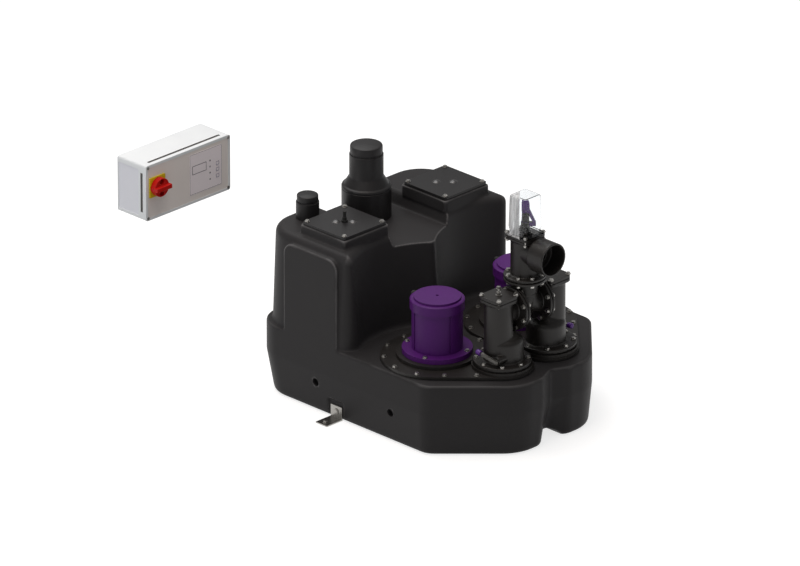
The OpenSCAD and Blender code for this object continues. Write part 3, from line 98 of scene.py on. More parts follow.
floor_corners = [(x * floor_half, y * floor_half, floor_z)
                 for x, y in ((-1, -1), (1, -1), (1, 1), (-1, 1))]
sheet = mesh_object("studio_floor", floor_corners, [[0, 1, 2, 3]])

# White studio paper: matt, and white partly by its own glow and partly by the lamps. It glows
# only for a ray that has met no matt surface yet, so it lights nothing.
paper_glow = 0.75
paper, paper_out = new_material("white_studio_paper")
ray = add(paper, "ShaderNodeLightPath")
seen_direct = add(paper, "ShaderNodeMath", [("operation", "MAXIMUM")],
                  [(0, ray.outputs["Is Camera Ray"]), (1, ray.outputs["Is Glossy Ray"])])
seen_all = add(paper, "ShaderNodeMath", [("operation", "MAXIMUM")],
               [(0, seen_direct.outputs[0]), (1, ray.outputs["Is Transmission Ray"])])
unlit = add(paper, "ShaderNodeMath", [("operation", "LESS_THAN"), (1, 0.5)],
            [(0, ray.outputs["Diffuse Depth"])])
glow_part = add(paper, "ShaderNodeMath", [("operation", "MULTIPLY")],
                [(0, seen_all.outputs[0]), (1, unlit.outputs[0])])
strength = add(paper, "ShaderNodeMath", [("operation", "MULTIPLY"), (1, paper_glow)],
               [(0, glow_part.outputs[0])])
matt = add(paper, "ShaderNodeBsdfDiffuse", [("Color", (0.5, 0.5, 0.5, 1))])
glow = add(paper, "ShaderNodeEmission", [("Color", (1, 1, 1, 1))],
           [("Strength", strength.outputs[0])])
lit = add(paper, "ShaderNodeAddShader", links=[(0, matt.outputs[0]), (1, glow.outputs[0])])
paper.node_tree.links.new(lit.outputs[0], paper_out.inputs["Surface"])
sheet.data.materials.append(paper)


# Studio: a pale room that is plain white where the camera sees it, straight or through the hood,
# three large soft lamps from above and the left, and a small one for the control unit's side.
room_light = 0.30
world = bpy.data.worlds.new("studio")
scene.world = world
world.use_nodes = True
world.node_tree.nodes.clear()
world_out = add(world, "ShaderNodeOutputWorld")
path = add(world, "ShaderNodeLightPath")
clear_view = add(world, "ShaderNodeMath", [("operation", "MAXIMUM")],
                 [(0, path.outputs["Is Camera Ray"]), (1, path.outputs["Is Transmission Ray"])])
bounces = add(world, "ShaderNodeMath", [("operation", "ADD")],
              [(0, path.outputs["Diffuse Depth"]), (1, path.outputs["Glossy Depth"])])
seen_first = add(world, "ShaderNodeMath", [("operation", "LESS_THAN"), (1, 0.5)],
                 [(0, bounces.outputs[0])])
clear_first = add(world, "ShaderNodeMath", [("operation", "MULTIPLY")],
                  [(0, clear_view.outputs[0]), (1, seen_first.outputs[0])])
ambient = add(world, "ShaderNodeBackground",
              [("Color", (1, 1, 1, 1)), ("Strength", room_light)])
white = add(world, "ShaderNodeBackground", [("Color", (1, 1, 1, 1)), ("Strength", 1.0)])
pick = add(world, "ShaderNodeMixShader",
           links=[(0, clear_first.outputs[0]), (1, ambient.outputs[0]), (2, white.outputs[0])])
world.node_tree.links.new(pick.outputs[0], world_out.inputs["Surface"])


def linear(hex_colour):
    """sRGB hex to linear RGBA: each channel c becomes ((c + 0.055) / 1.055) ** 2.4, or c / 12.92
    near black."""
    c = np.array([int(hex_colour[i : i + 2], 16) for i in (1, 3, 5)]) / 255
    rgb = np.where(c <= 0.04045, c / 12.92, ((c + 0.055) / 1.055) ** 2.4)
    return (*rgb.tolist(), 1.0)


def soft_lamp(name, place, target, size, watts, colour="#FFFFFF"):
    """A square area lamp at place that faces target."""
    lamp = bpy.data.lights.new(name, "AREA")
    lamp.size = size
    lamp.energy = watts
    lamp.color = linear(colour)[:3]
    holder = bpy.data.objects.new(name, lamp)
    holder.location = place
    holder.rotation_euler = (Vector(target) - Vector(place)).to_track_quat("-Z", "Y").to_euler()
    scene.collection.objects.link(holder)


soft_lamp("lamp_top", (0.5, 1.9, 3.6), (0, 0.1, 0.3), 3.0, 56)
soft_lamp("lamp_left", (-4.6, 0.2, 2.4), (0, 0, 0.4), 2.2, 8, "#F4F7FF")
soft_lamp("lamp_high", (-1.0, 0.1, 4.4), (0, 0, 0.3), 3.0, 82, "#FFF4EC")
soft_lamp("lamp_unit", (-1.5, 0.70, 0.80), (-0.7, 0.70, 0.72), 0.4, 1.5)


# Tank: one rotationally moulded body in black polyethylene. The lower body has two lobes at the
# front, the tall body behind it follows a round recess about each motor, and a saddle splits it
# into two humps. The mould gives every edge a soft radius and the skin a fine grain.
tank_w, tank_d = 377, 493  # half the lower body's width and depth
taper_h, draft = 140, 12  # below this height the walls draw in by the draft, twice at the rear
cut_line, lobe_x = 653, 60  # a lobe's corner is cut along x - y = 653, and its front ends at 60
cleft_depth, cleft_low = 28, 34  # the front cleft, and how much deeper it is at the floor
rear_r, side_r, lobe_r, lip_r, cleft_r = 102, 60, 130, 45, 22  # the lower body's corners
shelf_z, saddle_z, hump_z = 243, 523, 568
pump_axis = np.array([187, -145])
tall_w, tall_d, tall_draft = 368, 481, 8  # half the tall body's width and depth at the shelf
tall_rear_r = 115
recess_r, recess_draft = 255, 18  # the round recess about each motor, wider at the top
nose_r, nose_draft, cusp_r = 40, 25, 25
foot_r, shelf_r, hump_r = 14, 8, 25  # the rounding of the floor, shelf and hump edges
skin_mm, kept_share = 3.6, 0.38  # the grid that fuses the moulding, and the triangles kept of it


def arc(centre, radius, start, sweep, n):
    """n + 1 points on a circle: centre + radius (cos a, sin a), from the angle a = start through
    sweep, in degrees."""
    a = np.radians(start + sweep * np.linspace(0, 1, n + 1))
    return np.asarray(centre) + radius * np.stack([np.cos(a), np.sin(a)], 1)


def rounded(a, b, c, radius, n):
    """The arc that replaces the corner b and touches the lines a-b and b-c: its centre lies on
    the corner's bisector, radius / sin(half the corner's angle) from b."""
    a, b, c = (np.asarray(p, float) for p in (a, b, c))
    u, v = (a - b) / np.linalg.norm(a - b), (c - b) / np.linalg.norm(c - b)
    half = np.arccos(np.dot(u, v)) / 2
    middle = b + (u + v) / np.linalg.norm(u + v) * radius / np.sin(half)
    p, q = b + u * radius / np.tan(half), b + v * radius / np.tan(half)
    start = np.degrees(np.arctan2(*(p - middle)[::-1]))
    sweep = (np.degrees(np.arctan2(*(q - middle)[::-1])) - start + 180) % 360 - 180
    return arc(middle, radius, start, sweep, n)


def rounded_rectangle(w, h, corner, n=10):
    """Rounded rectangle of w by h mm about the origin, anticlockwise: four quarter arcs, whose
    ends the straight sides join."""
    cx, cy = w / 2 - corner, h / 2 - corner
    quarters = ((1, 1, 0), (-1, 1, 90), (-1, -1, 180), (1, -1, 270))
    return np.concatenate([arc((sx * cx, sy * cy), corner, a, 90, n) for sx, sy, a in quarters])


def whole(half):
    """A half outline from the rear centre round to the front centre, closed by its mirror image
    and turned anticlockwise."""
    half = np.asarray(half)
    return np.concatenate([half, (half * [-1, 1])[-2:0:-1]])[::-1]


def skin(name, rings, heights):
    """Closed skin over a stack of loops, in mm: point i of loop j is joined by quads to point i
    of loop j + 1, and the first and last loops are the caps."""
    m, n = len(rings), len(rings[0])
    loops = [np.column_stack([r, np.full(n, h)]) for r, h in zip(rings, heights)]
    i, j = np.meshgrid(np.arange(n), np.arange(m - 1))
    k = (i + 1) % n
    quads = np.stack([j * n + i, j * n + k, (j + 1) * n + k, (j + 1) * n + i], -1).reshape(-1, 4)
    caps = [list(range(n))[::-1], list(range((m - 1) * n, m * n))]
    return mesh_object(name, np.concatenate(loops) / 1000, quads.tolist() + caps)


def stretched(outline, centre, axis, length):
    """Closed prism in mm: a flat outline about centre, carried along axis by length. Gives its
    points in metres and its faces."""
    n = len(outline)
    points = np.zeros((2, n, 3))
    points[:, :, (axis + 1) % 3], points[:, :, (axis + 2) % 3] = outline[:, 0], outline[:, 1]
    points[1, :, axis] = length
    i = np.arange(n)
    quads = np.stack([i, (i + 1) % n, n + (i + 1) % n, n + i], 1)
    caps = [list(range(n))[::-1], list(range(n, 2 * n))]
    return (points.reshape(-1, 3) + centre) / 1000, quads.tolist() + caps


def disc(centre, axis, radius, length, n=48):
    """Closed cylinder in mm: a circle of that radius about centre, carried along axis."""
    return stretched(arc((0, 0), radius, 0, 360, n)[:-1], centre, axis, length)


def outward(piece):
    """Merges the double points of a closed piece and turns its faces outwards."""
    bm = bmesh.new()
    bm.from_mesh(piece.data)
    bmesh.ops.remove_doubles(bm, verts=bm.verts, dist=1e-5)
    bmesh.ops.recalc_face_normals(bm, faces=bm.faces)
    bm.to_mesh(piece.data)
    bm.free()


def settle(piece):
    """Applies every modifier of piece."""
    graph = bpy.context.evaluated_depsgraph_get()
    mesh = bpy.data.meshes.new_from_object(piece.evaluated_get(graph))
    piece.modifiers.clear()
    piece.data = mesh


def cut(piece, tool):
    """Cuts the tool, another object, out of piece and removes the tool."""
    change = piece.modifiers.new("cut", "BOOLEAN")
    change.operation, change.solver, change.object = "DIFFERENCE", "EXACT", tool
    settle(piece)
    bpy.data.objects.remove(tool)


def join(piece, parts):
    """Adds the meshes of other objects to a piece's own, in their order, and removes them."""
    both = bmesh.new()
    for one in (piece, *parts):
        both.from_mesh(one.data)
    both.to_mesh(piece.data)
    both.free()
    for part in parts:
        bpy.data.objects.remove(part)


def fused(piece, voxel_mm, passes, share=1):
    """Fuses a piece's shells into one on a grid of voxel_mm, rounds its corners by passes of
    smoothing, and keeps that share of its triangles."""
    fuse = piece.modifiers.new("fuse", "REMESH")
    fuse.mode, fuse.voxel_size, fuse.use_smooth_shade = "VOXEL", voxel_mm / 1000, True
    soften = piece.modifiers.new("soften", "SMOOTH")
    soften.factor, soften.iterations = 0.5, passes
    if share < 1:
        thin = piece.modifiers.new("thin", "DECIMATE")
        thin.ratio = share
    settle(piece)


def shaded(piece, angle):
    """Shades a piece smooth, apart from its edges that are sharper than angle, in degrees."""
    piece.data.shade_smooth()
    piece.data.set_sharp_from_angle(angle=np.radians(angle))


def lower_half(inset, h):
    """Half outline of the lower body at height h, set in by inset: rear corner, side, cut
    corner, lobe and cleft, each joined to the next by its arc."""
    low = max(0, (taper_h - h) / taper_h)
    d = inset + draft * low
    w, back, front = tank_w - d, tank_d - d - draft * low, -tank_d + d
    cut_at = cut_line - d * 2 ** 0.5
    cleft = (0, front + cleft_depth + cleft_low * low)
    rear, side, lobe, lip = (w, back), (w, w - cut_at), (cut_at + front, front), (lobe_x, front)
    return np.concatenate([[(0, back)], rounded((0, back), rear, side, rear_r - inset, 16),
                           rounded(rear, side, lobe, side_r, 8),
                           rounded(side, lobe, lip, lobe_r, 12),
                           rounded(lobe, lip, cleft, lip_r, 8),
                           rounded(lip, cleft, (-lobe_x, front), cleft_r, 8)[:5]])


def tall_half(inset, front_inset, h):
    """Half outline of the tall body at height h: rear corner, side, a nose whose arc touches the
    side and the round recess about the pump, the recess, and the cusp on the centre plane."""
    f = (h - shelf_z) / (hump_z - shelf_z)
    w, back = tall_w - tall_draft * f - inset, tall_d - tall_draft * f - inset
    r = recess_r + recess_draft * f + front_inset
    rn, rc = max(nose_r - nose_draft * f - front_inset, 3), max(cusp_r - front_inset, 4)
    px, py = pump_axis
    nose = np.array([w - rn, py + np.sqrt((r + rn) ** 2 - (w - rn - px) ** 2)])
    cusp = np.array([0, py + np.sqrt((r + rc) ** 2 - px ** 2)])
    to_nose, to_cusp = (np.degrees(np.arctan2(*(p - pump_axis)[::-1])) for p in (nose, cusp))
    return np.concatenate([[(0, back)],
                           rounded((0, back), (w, back), (w, 0), tall_rear_r - inset, 16),
                           arc(nose, rn, 0, to_nose - 180, 8),
                           arc(pump_axis, r, to_nose, to_cusp - to_nose, 32)[1:-1],
                           arc(cusp, rc, to_cusp - 180, 90 - to_cusp, 6)])


def quarter(radius, top, n=6):
    """Insets radius (1 - cos a) and heights top - radius (1 - sin a) of a quarter-round edge
    that ends at the height top."""
    a = np.radians(np.linspace(0, 90, n + 1))
    return np.column_stack([radius * (1 - np.cos(a)), top - radius * (1 - np.sin(a))])


foot_a = np.radians([0, 30, 60, 90])
foot = np.column_stack([foot_r * (1 - np.sin(foot_a)), foot_r * (1 - np.cos(foot_a))])
steps = np.concatenate([foot, [[0, 60], [0, 100], [0, 140], [0, 200]], quarter(shelf_r, shelf_z)])
tank = skin("tank_body", [whole(lower_half(d, h)) for d, h in steps], steps[:, 1])

# Inset, front inset and height of the tall body's loops. It starts inside the lower body, and a
# fillet joins its recesses to the shelf over the first 15 mm.
root = [[0, -10, 223], [0, -10, 243], [0, -6, 245], [0, -3, 248], [0, -1, 252], [0, 0, 258],
        [0, 0, 400], [0, 0, 500]]
rows = root + [[d, d, h] for d, h in quarter(hump_r, hump_z)]
tall = skin("tank_tall", [whole(tall_half(a, b, h)) for a, b, h in rows], [r[2] for r in rows])

# The saddle's right side as x and z, from its floor up over the rounded edge of the hump; the
# tool reaches past the tank in front and behind.
side = np.array([[120, saddle_z], [128, 552], [130.1, 558], [136, 563.9], [144, 569], [144, 640]])
profile = np.concatenate([side, (side * [-1, 1])[::-1]])
channel = mesh_object("saddle_tool", *stretched(profile[:, ::-1], (0, -600, 0), 1, 1200))
outward(channel)
cut(tall, channel)

# An arch under the front cleft, 28 mm high, and a recess on each side for the floor bracket,
# 14 mm deep.
tools = [disc((0, -494, -36.2), 1, 64.2, 104)]
bracket_corners = [rounded((94, -60), (94, 65), (162, 65), 8, 4),
                   rounded((94, 65), (162, 65), (162, -60), 8, 4)]
pocket = np.concatenate([[(94, -60)], *bracket_corners, [(162, -60)]])[::-1]
tools += [stretched(pocket, (x, 0, 0), 0, 44) for x in (-407, 363)]
for points, faces in tools:
    cut(tank, mesh_object("tank_tool", points, faces))

# A raised pad on each hump's outer side, and a square collar under each inspection cover.
pad = np.concatenate([[(116, 203)], rounded((116, 203), (116, 547), (356, 547), 40, 10),
                      rounded((116, 547), (356, 547), (356, 203), 40, 10), [(356, 203)]])[::-1]
collar = rounded_rectangle(201, 201, 10, 6)
extra = [stretched(pad, (x, 0, 0), 0, 40) for x in (-377, 337)]
extra += [stretched(collar, (x, 231, 560), 2, 38) for x in (-226, 226)]
join(tank, [tall] + [mesh_object("tank_extra", points, faces) for points, faces in extra])
fused(tank, skin_mm, 4, kept_share)

# Two round blind recesses low on each side, 20 mm deep.
for x in (-395, 357):
    for y in (214, -121):
        cut(tank, mesh_object("lug_tool", *disc((x, y, 102), 0, 13.5, 38)))
shaded(tank, 50)


def grain(material, coordinates, size_mm, depth_mm, detail=3.0):
    """Bump from noise whose grains measure about size_mm and stand depth_mm high. Most are finer
    than a pixel of the photograph's view, and show in closer ones."""
    noise = add(material, "ShaderNodeTexNoise",
                [("Scale", 1000 / size_mm), ("Detail", detail), ("Roughness", 0.6)],
                [("Vector", coordinates.outputs["Object"])])
    return add(material, "ShaderNodeBump", [("Strength", 1.0), ("Distance", depth_mm / 1000)],
               [("Height", noise.outputs["Fac"])])


def coated(name, dark, light, roughness, grain_mm, depth_mm, patch_mm=80, shine=0.5):
    """Moulded or painted finish: two near shades in soft patches of patch_mm, which also move
    the roughness a little, under a fine grain."""
    material, out = new_material(name)
    place = add(material, "ShaderNodeTexCoord")
    patch = add(material, "ShaderNodeTexNoise", [("Scale", 1000 / patch_mm), ("Detail", 4.0)],
                [("Vector", place.outputs["Object"])])
    shade = add(material, "ShaderNodeMix",
                [("data_type", "RGBA"), (6, linear(dark)), (7, linear(light))],
                [(0, patch.outputs["Fac"])])
    rough = add(material, "ShaderNodeMapRange",
                [("To Min", roughness - 0.05), ("To Max", roughness + 0.05)],
                [("Value", patch.outputs["Fac"])])
    bump = grain(material, place, grain_mm, depth_mm)
    surface = add(material, "ShaderNodeBsdfPrincipled", [("Specular IOR Level", shine)],
                  [("Base Color", shade.outputs[2]), ("Roughness", rough.outputs["Result"]),
                   ("Normal", bump.outputs["Normal"])])
    material.node_tree.links.new(surface.outputs[0], out.inputs["Surface"])
    return material


# Black polyethylene from a rotational mould: satin, with a fine orange-peel grain, and a painted
# highlight along its outer edges, where a paler grey is mixed in. Pointiness is 0.5 on a flat
# face and rises over an outer edge.
polyethylene = coated("rotomoulded_polyethylene", "#2E2D2E", "#353435", 0.48, 2.2, 0.05, 120,
                      shine=0.12)
body_surface = polyethylene.node_tree.nodes["Principled BSDF"]
body_colour = body_surface.inputs["Base Color"].links[0].from_socket
# Painted highlight: the body's colour turns a paler grey over outer edges.
curve = add(polyethylene, "ShaderNodeNewGeometry")
painted_highlight_share = add(polyethylene, "ShaderNodeMapRange", [("From Min", 0.514), ("From Max", 0.550)],
                [("Value", curve.outputs["Pointiness"])])
painted_edge_highlight = add(polyethylene, "ShaderNodeMix", [("data_type", "RGBA"), (7, linear("#626162"))],
                 [(0, painted_highlight_share.outputs["Result"]), (6, body_colour)])
polyethylene.node_tree.links.new(painted_edge_highlight.outputs[2], body_surface.inputs["Base Color"])
tank.data.materials.append(polyethylene)
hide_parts("tank_shell")
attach(tank, "station")


# Spigots and inspection covers: injection moulded in black plastic, a little smoother than the
# tank. The spigots plug into it by their necks, and the covers are bolted to its collars. The
# small domes on the covers are glossy and carry a painted highlight.
sharp_angle = 32
cover_top = 608


def bevelled(piece, edge_mm, segments=3):
    """Breaks the sharp edges of a piece by edge_mm, as a mould or a file leaves them."""
    rim = piece.modifiers.new("edges", "BEVEL")
    rim.width, rim.segments = edge_mm / 1000, segments
    rim.limit_method, rim.angle_limit = "ANGLE", np.radians(sharp_angle)
    rim.harden_normals = True


def dressed(node, material, edge_mm, body="station", segments=2):
    """A copy of a CAD node that keeps the solid's shape, for a moulded or machined piece: its
    triangles are merged, its flat faces made whole and its sharp edges broken by edge_mm."""
    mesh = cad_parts[node].data.copy()
    for name in [a.name for a in mesh.attributes if a.name == "custom_normal"]:
        mesh.attributes.remove(mesh.attributes[name])
    bm = bmesh.new()
    bm.from_mesh(mesh)
    bmesh.ops.remove_doubles(bm, verts=bm.verts, dist=2e-5)
    bmesh.ops.dissolve_limit(bm, angle_limit=np.radians(0.4), verts=bm.verts, edges=bm.edges)
    bm.to_mesh(mesh)
    bm.free()
    mesh.materials.clear()
    mesh.materials.append(material)
    piece = bpy.data.objects.new(node + "_finished", mesh)
    scene.collection.objects.link(piece)
    shaded(piece, sharp_angle)
    if edge_mm:
        bevelled(piece, edge_mm, segments)
    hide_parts(node)
    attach(piece, body)
    return piece


def face_centres(piece):
    """Centres of a piece's faces in mm, one row each."""
    centres = np.empty(len(piece.data.polygons) * 3)
    piece.data.polygons.foreach_get("center", centres)
    return centres.reshape(-1, 3) * 1000


def coloured(piece, chosen):
    """Gives each face of a piece the material whose number chosen holds for it; true stands for
    the second material."""
    piece.data.polygons.foreach_set("material_index", chosen.astype(np.int32))


# Black polyethylene from a polished mould: satin, smoother than the tank, with a faint grain; the
# domes are glossy and painted a paler grey, a painted highlight on each.
cover_plastic = coated("moulded_black_polyethylene", "#1E1D1E", "#232223", 0.44, 1.2, 0.02,
                       shine=0.3)
glossy_painted_highlight_plastic = coated("glossy_black_polyethylene_painted_highlight", "#343334", "#3A393A", 0.24, 1.2, 0.01,
                          shine=0.8)
for node in ("inlet_spigot", "vent_spigot"):
    dressed(node, cover_plastic, 0.8)
for node in ("inspection_cover_left", "inspection_cover_right"):
    cover = dressed(node, cover_plastic, 0.8)
    # Painted highlight: the dome tops take the paler glossy material.
    cover.data.materials.append(glossy_painted_highlight_plastic)
    coloured(cover, face_centres(cover)[:, 2] > cover_top + 0.1)


# Gaskets, level gland and level bell: moulded rubber under every cover, lid and flange, and a
# grey plastic bell that hangs in the tank below the gland on the left cover.

# Moulded rubber: near black and matt, with a dusty grain.
rubber = coated("moulded_rubber", "#141313", "#1A1919", 0.72, 0.8, 0.03)
dressed("gaskets", rubber, 0.2)
dressed("level_gland", rubber, 0.5)
# Grey polypropylene: plain and satin, as pipe fittings are.
grey_plastic = coated("grey_polypropylene", "#8C8E90", "#97999B", 0.45, 1.5, 0.02)
dressed("level_bell", grey_plastic, 0.5)


# Bolts, nuts, screws and floor brackets: cold-headed and pressed A2 stainless steel, which hold
# the covers, plates, valves and flanges, and the tank to the floor.
def bare_metal(name, dark, light, roughness, streak_mm):
    """Fine noise drawn out along Z, in two near shades, that also moves the roughness and stands
    up a little, as tool marks do."""
    material, out = new_material(name)
    place = add(material, "ShaderNodeTexCoord")
    drawn = add(material, "ShaderNodeMapping", [("Scale", (1.0, 1.0, 0.12))],
                [("Vector", place.outputs["Object"])])
    marks = add(material, "ShaderNodeTexNoise", [("Scale", 1000 / streak_mm), ("Detail", 3.0)],
                [("Vector", drawn.outputs["Vector"])])
    shade = add(material, "ShaderNodeMix",
                [("data_type", "RGBA"), (6, linear(dark)), (7, linear(light))],
                [(0, marks.outputs["Fac"])])
    rough = add(material, "ShaderNodeMapRange",
                [("To Min", roughness - 0.08), ("To Max", roughness + 0.08)],
                [("Value", marks.outputs["Fac"])])
    bump = add(material, "ShaderNodeBump", [("Strength", 0.6), ("Distance", 0.00003)],
               [("Height", marks.outputs["Fac"])])
    surface = add(material, "ShaderNodeBsdfPrincipled", [("Metallic", 1.0)],
                  [("Base Color", shade.outputs[2]), ("Roughness", rough.outputs["Result"]),
                   ("Normal", bump.outputs["Normal"])])
    material.node_tree.links.new(surface.outputs[0], out.inputs["Surface"])
    return material


# Cold-headed stainless steel: a dull pale shine with fine tool marks.
stainless = bare_metal("cold_headed_stainless", "#94928E", "#B4B2AE", 0.34, 1.5)
for node in ("cover_bolts", "plate_bolts", "motor_bolts", "valve_base_bolts", "lid_bolts",
             "branch_bolts", "head_bolts", "hood_bolts", "vent_screw", "anchor_screws",
             "cover_screws", "floor_brackets"):
    dressed(node, stainless, 0.4)


# Pump plates, check valves, wye and discharge head: grey iron cast in sand, under black epoxy,
# and bolted together. The valve bodies, the wye and the head are fused from their solids, which
# gives them the round inner corners of their moulds.
cast_grid_mm = 1.8

# Epoxy on sand-cast iron: black with a warm shade, satin, over the sand's coarse grain.
cast_epoxy = coated("epoxy_coated_iron", "#1C1A19", "#24211F", 0.43, 3.0, 0.08, 60, shine=0.36)
for node in ("valve_body_left", "valve_body_right", "wye_pipe", "discharge_head"):
    fused(dressed(node, cast_epoxy, 0), cast_grid_mm, 3)
for node in ("pump_plate_left", "pump_plate_right", "valve_lid_left", "valve_lid_right", "bonnet",
             "suction_rings"):
    dressed(node, cast_epoxy, 1.2)


# Motors: aluminium housings in purple enamel, bolted to the pump plates, each with a banded end
# cap and a rubber gland behind it. Stator, bearings, seals, shaft and impeller are inside.

# Satin enamel: deep purple with a soft shine and a light orange peel.
purple_enamel = coated("satin_purple_enamel", "#4A1762", "#541D6E", 0.45, 1.6, 0.03, 60,
                       shine=0.2)
for node in ("motor_housing_left", "motor_housing_right", "motor_caps"):
    dressed(node, purple_enamel, 1.0, segments=3)
dressed("motor_glands", rubber, 0.5)
# Varnished copper winding: red-brown, with a broken shine.
copper = bare_metal("varnished_copper_winding", "#6E3A1C", "#8C5028", 0.45, 2.0)
dressed("stators", copper, 0.3)
# Ground bearing steel: grey and bright, with finer marks than the bolts have.
ground_steel = bare_metal("ground_steel", "#8A8A8C", "#A4A4A6", 0.25, 1.0)
dressed("bearings", ground_steel, 0.3)
dressed("shaft_seals", rubber, 0.3)
for side in ("left", "right"):
    dressed(f"rotor_shaft_{side}", ground_steel, 0.4, f"rotor_{side}")
    dressed(f"impeller_{side}", cast_epoxy, 0.6, f"rotor_{side}")


# Flaps: rubber-covered discs that swing in the check valves on stainless shafts. Each shaft comes
# out through the bowl and carries the lifting lever with its moulded purple grip.

# Moulded purple plastic: smooth and satin, bluer than the motors' enamel.
purple_plastic = coated("moulded_purple_plastic", "#4C1478", "#581C88", 0.42, 1.2, 0.02, 40)
for side in ("left", "right"):
    dressed(f"valve_flap_{side}", rubber, 0.4, f"flap_{side}")
    dressed(f"flap_shaft_{side}", stainless, 0.4, f"flap_{side}")
    dressed(f"lever_grip_{side}", purple_plastic, 0.8, f"flap_{side}")


# Shut-off: a cast bronze plug in the discharge head, turned by an A-shaped handle of purple
# plastic. A black core shows in the handle's foot, where it sits on the plug's stem.
stem_y = -0.349  # metres, as the core is turned before it is put in place
core_z, core_h = 717, 31
handle_turn = np.radians(-45)


def with_parts(piece, parts, material):
    """Adds closed parts, pairs of points and faces, to a piece's mesh with a second material, and
    returns which of the piece's faces are theirs."""
    own = len(piece.data.polygons)
    join(piece, [mesh_object("part", points, faces) for points, faces in parts])
    piece.data.materials.append(material)
    return np.arange(len(piece.data.polygons)) >= own


# Cast bronze: brown-gold, dull, with a broken surface.
bronze = bare_metal("cast_bronze", "#7A5F36", "#8E7144", 0.42, 3.0)
dressed("shutoff_plug", bronze, 0.5, "shutoff")
handle = dressed("shutoff_handle", purple_plastic, 0, "shutoff")
core_outline = np.array([[-9, -9], [12, -9], [12, 9], [-9, 9]])
core_points, core_faces = stretched(core_outline, (0, 0, core_z), 2, core_h)
turn = np.array([[np.cos(handle_turn), np.sin(handle_turn), 0],
                 [-np.sin(handle_turn), np.cos(handle_turn), 0], [0, 0, 1]])
core = with_parts(handle, [(core_points @ turn + [0, stem_y, 0], core_faces)], cast_epoxy)
coloured(handle, core | (face_centres(handle)[:, 2] < core_z + 0.5))
shaded(handle, sharp_angle)
bevelled(handle, 1.2)


# Clear hood over the handle: a tapering square cup blown from clear plastic, 3 mm thick, with a
# flat top and a foot flange. Its corners are let in round the four screws at the foot. Its left
# part carries a painted white reflection in upright streaks, and the rest is clear.
hood_z, hood_h, hood_y, wall = 677, 134, -349, 3
foot_w, hood_w, hood_taper = 97, 85, 10
corner_h, corner_r = [12, 26, hood_h], [26, 15, 10]  # the corners' radius at three heights

# Width, corner radius and height of each loop: from the top down the inside, out over the
# flange, and up the outside to the rounded rim.
up = [[0, 4], [0, 12], [0, 18], [0, 26], [0, 80], *quarter(8, hood_h, 8)]
outer = [(hood_w - hood_taper * h / hood_h - 2 * d, np.interp(h, corner_h, corner_r) - d, h)
         for d, h in up]
inner = [(w - 2 * wall, max(c - wall, 1), min(h, hood_h - wall)) for w, c, h in outer[-3::-1]]
rings = inner + [(79, 23, 0), (foot_w, 15, 0), (foot_w, 15, 4)] + outer
hood = skin("clear_hood_shell", [rounded_rectangle(w, w, c) + [0, hood_y] for w, c, h in rings],
            [h + hood_z for w, c, h in rings])
outward(hood)
shaded(hood, 40)

# Blown styrene: clear and glossy, with slow waves in its surface, and a painted white reflection
# in thin upright streaks left of the line x - y = 0.32 m.
clear, clear_out = new_material("clear_styrene")
hood_place = add(clear, "ShaderNodeTexCoord")
waves = grain(clear, hood_place, 30, 0.02, 1.0)
clear_surface = add(clear, "ShaderNodeBsdfPrincipled",
                    [("Base Color", linear("#FAFCFD")), ("Roughness", 0.02), ("IOR", 1.3),
                     ("Specular IOR Level", 0.3), ("Transmission Weight", 1.0)],
                    [("Normal", waves.outputs["Normal"])])
# Painted reflection: a pale surface mixed over the clear one on the left part.
painted_reflection_surface = add(clear, "ShaderNodeBsdfPrincipled",
            [("Base Color", linear("#F2F4F6")), ("Roughness", 0.3)])
hood_axes = add(clear, "ShaderNodeSeparateXYZ", links=[(0, hood_place.outputs["Object"])])
rightward = add(clear, "ShaderNodeMath", [("operation", "SUBTRACT")],
                [(0, hood_axes.outputs["X"]), (1, hood_axes.outputs["Y"])])
reflection_side = add(clear, "ShaderNodeMapRange", [("From Min", 0.326), ("From Max", 0.320)],
                [("Value", rightward.outputs[0])])
upright = add(clear, "ShaderNodeMapping", [("Scale", (1.0, 1.0, 0.05))],
              [("Vector", hood_place.outputs["Object"])])
streaks = add(clear, "ShaderNodeTexNoise", [("Scale", 1000 / 9), ("Detail", 2.0)],
              [("Vector", upright.outputs["Vector"])])
reflection_streak_amount = add(clear, "ShaderNodeMapRange",
              [("From Min", 0.35), ("From Max", 0.65), ("To Min", 0.15), ("To Max", 0.75)],
              [("Value", streaks.outputs["Fac"])])
painted_reflection_amount = add(clear, "ShaderNodeMath", [("operation", "MULTIPLY")],
           [(0, reflection_side.outputs["Result"]), (1, reflection_streak_amount.outputs["Result"])])
hood_mix = add(clear, "ShaderNodeMixShader",
               links=[(0, painted_reflection_amount.outputs[0]), (1, clear_surface.outputs[0]), (2, painted_reflection_surface.outputs[0])])
clear.node_tree.links.new(hood_mix.outputs[0], clear_out.inputs["Surface"])
hood.data.materials.append(clear)
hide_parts("clear_hood")
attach(hood, "station")


# Control unit's case and cover: moulded in light grey plastic and screwed together at the
# corners over a foam seal, which shows in the groove between them. The case has a shallow recess
# in its left side.
unit_corner = np.array([-713, 631, 633])  # the cover's front corner, lowest and furthest left
unit_w, unit_h = 372, 190
recess_x = unit_corner[0] + 2.4

# Light grey polycarbonate: satin, with a very fine moulded grain; the recess floor carries painted
# shade, a darker and bluer grey.
case_plastic = coated("light_grey_polycarbonate", "#E0E4E7", "#E7EBED", 0.42, 1.0, 0.02)
recess_painted_shade_grey = coated("light_grey_painted_recess_shade", "#DCDEE6", "#E3E5EC", 0.42, 1.0, 0.02)
case = dressed("control_case", case_plastic, 0)
case.data.materials.append(recess_painted_shade_grey)
case_recess = stretched(rounded_rectangle(92, 158, 5, 4), (-715, 710.5, 725), 0, 4.4)
cut(case, mesh_object("case_tool", *case_recess))
shaded(case, sharp_angle)
# Painted shade: the recess floor's faces take the darker, bluer grey.
coloured(case, np.abs(face_centres(case)[:, 0] - recess_x) < 0.2)
bevelled(case, 1.6)

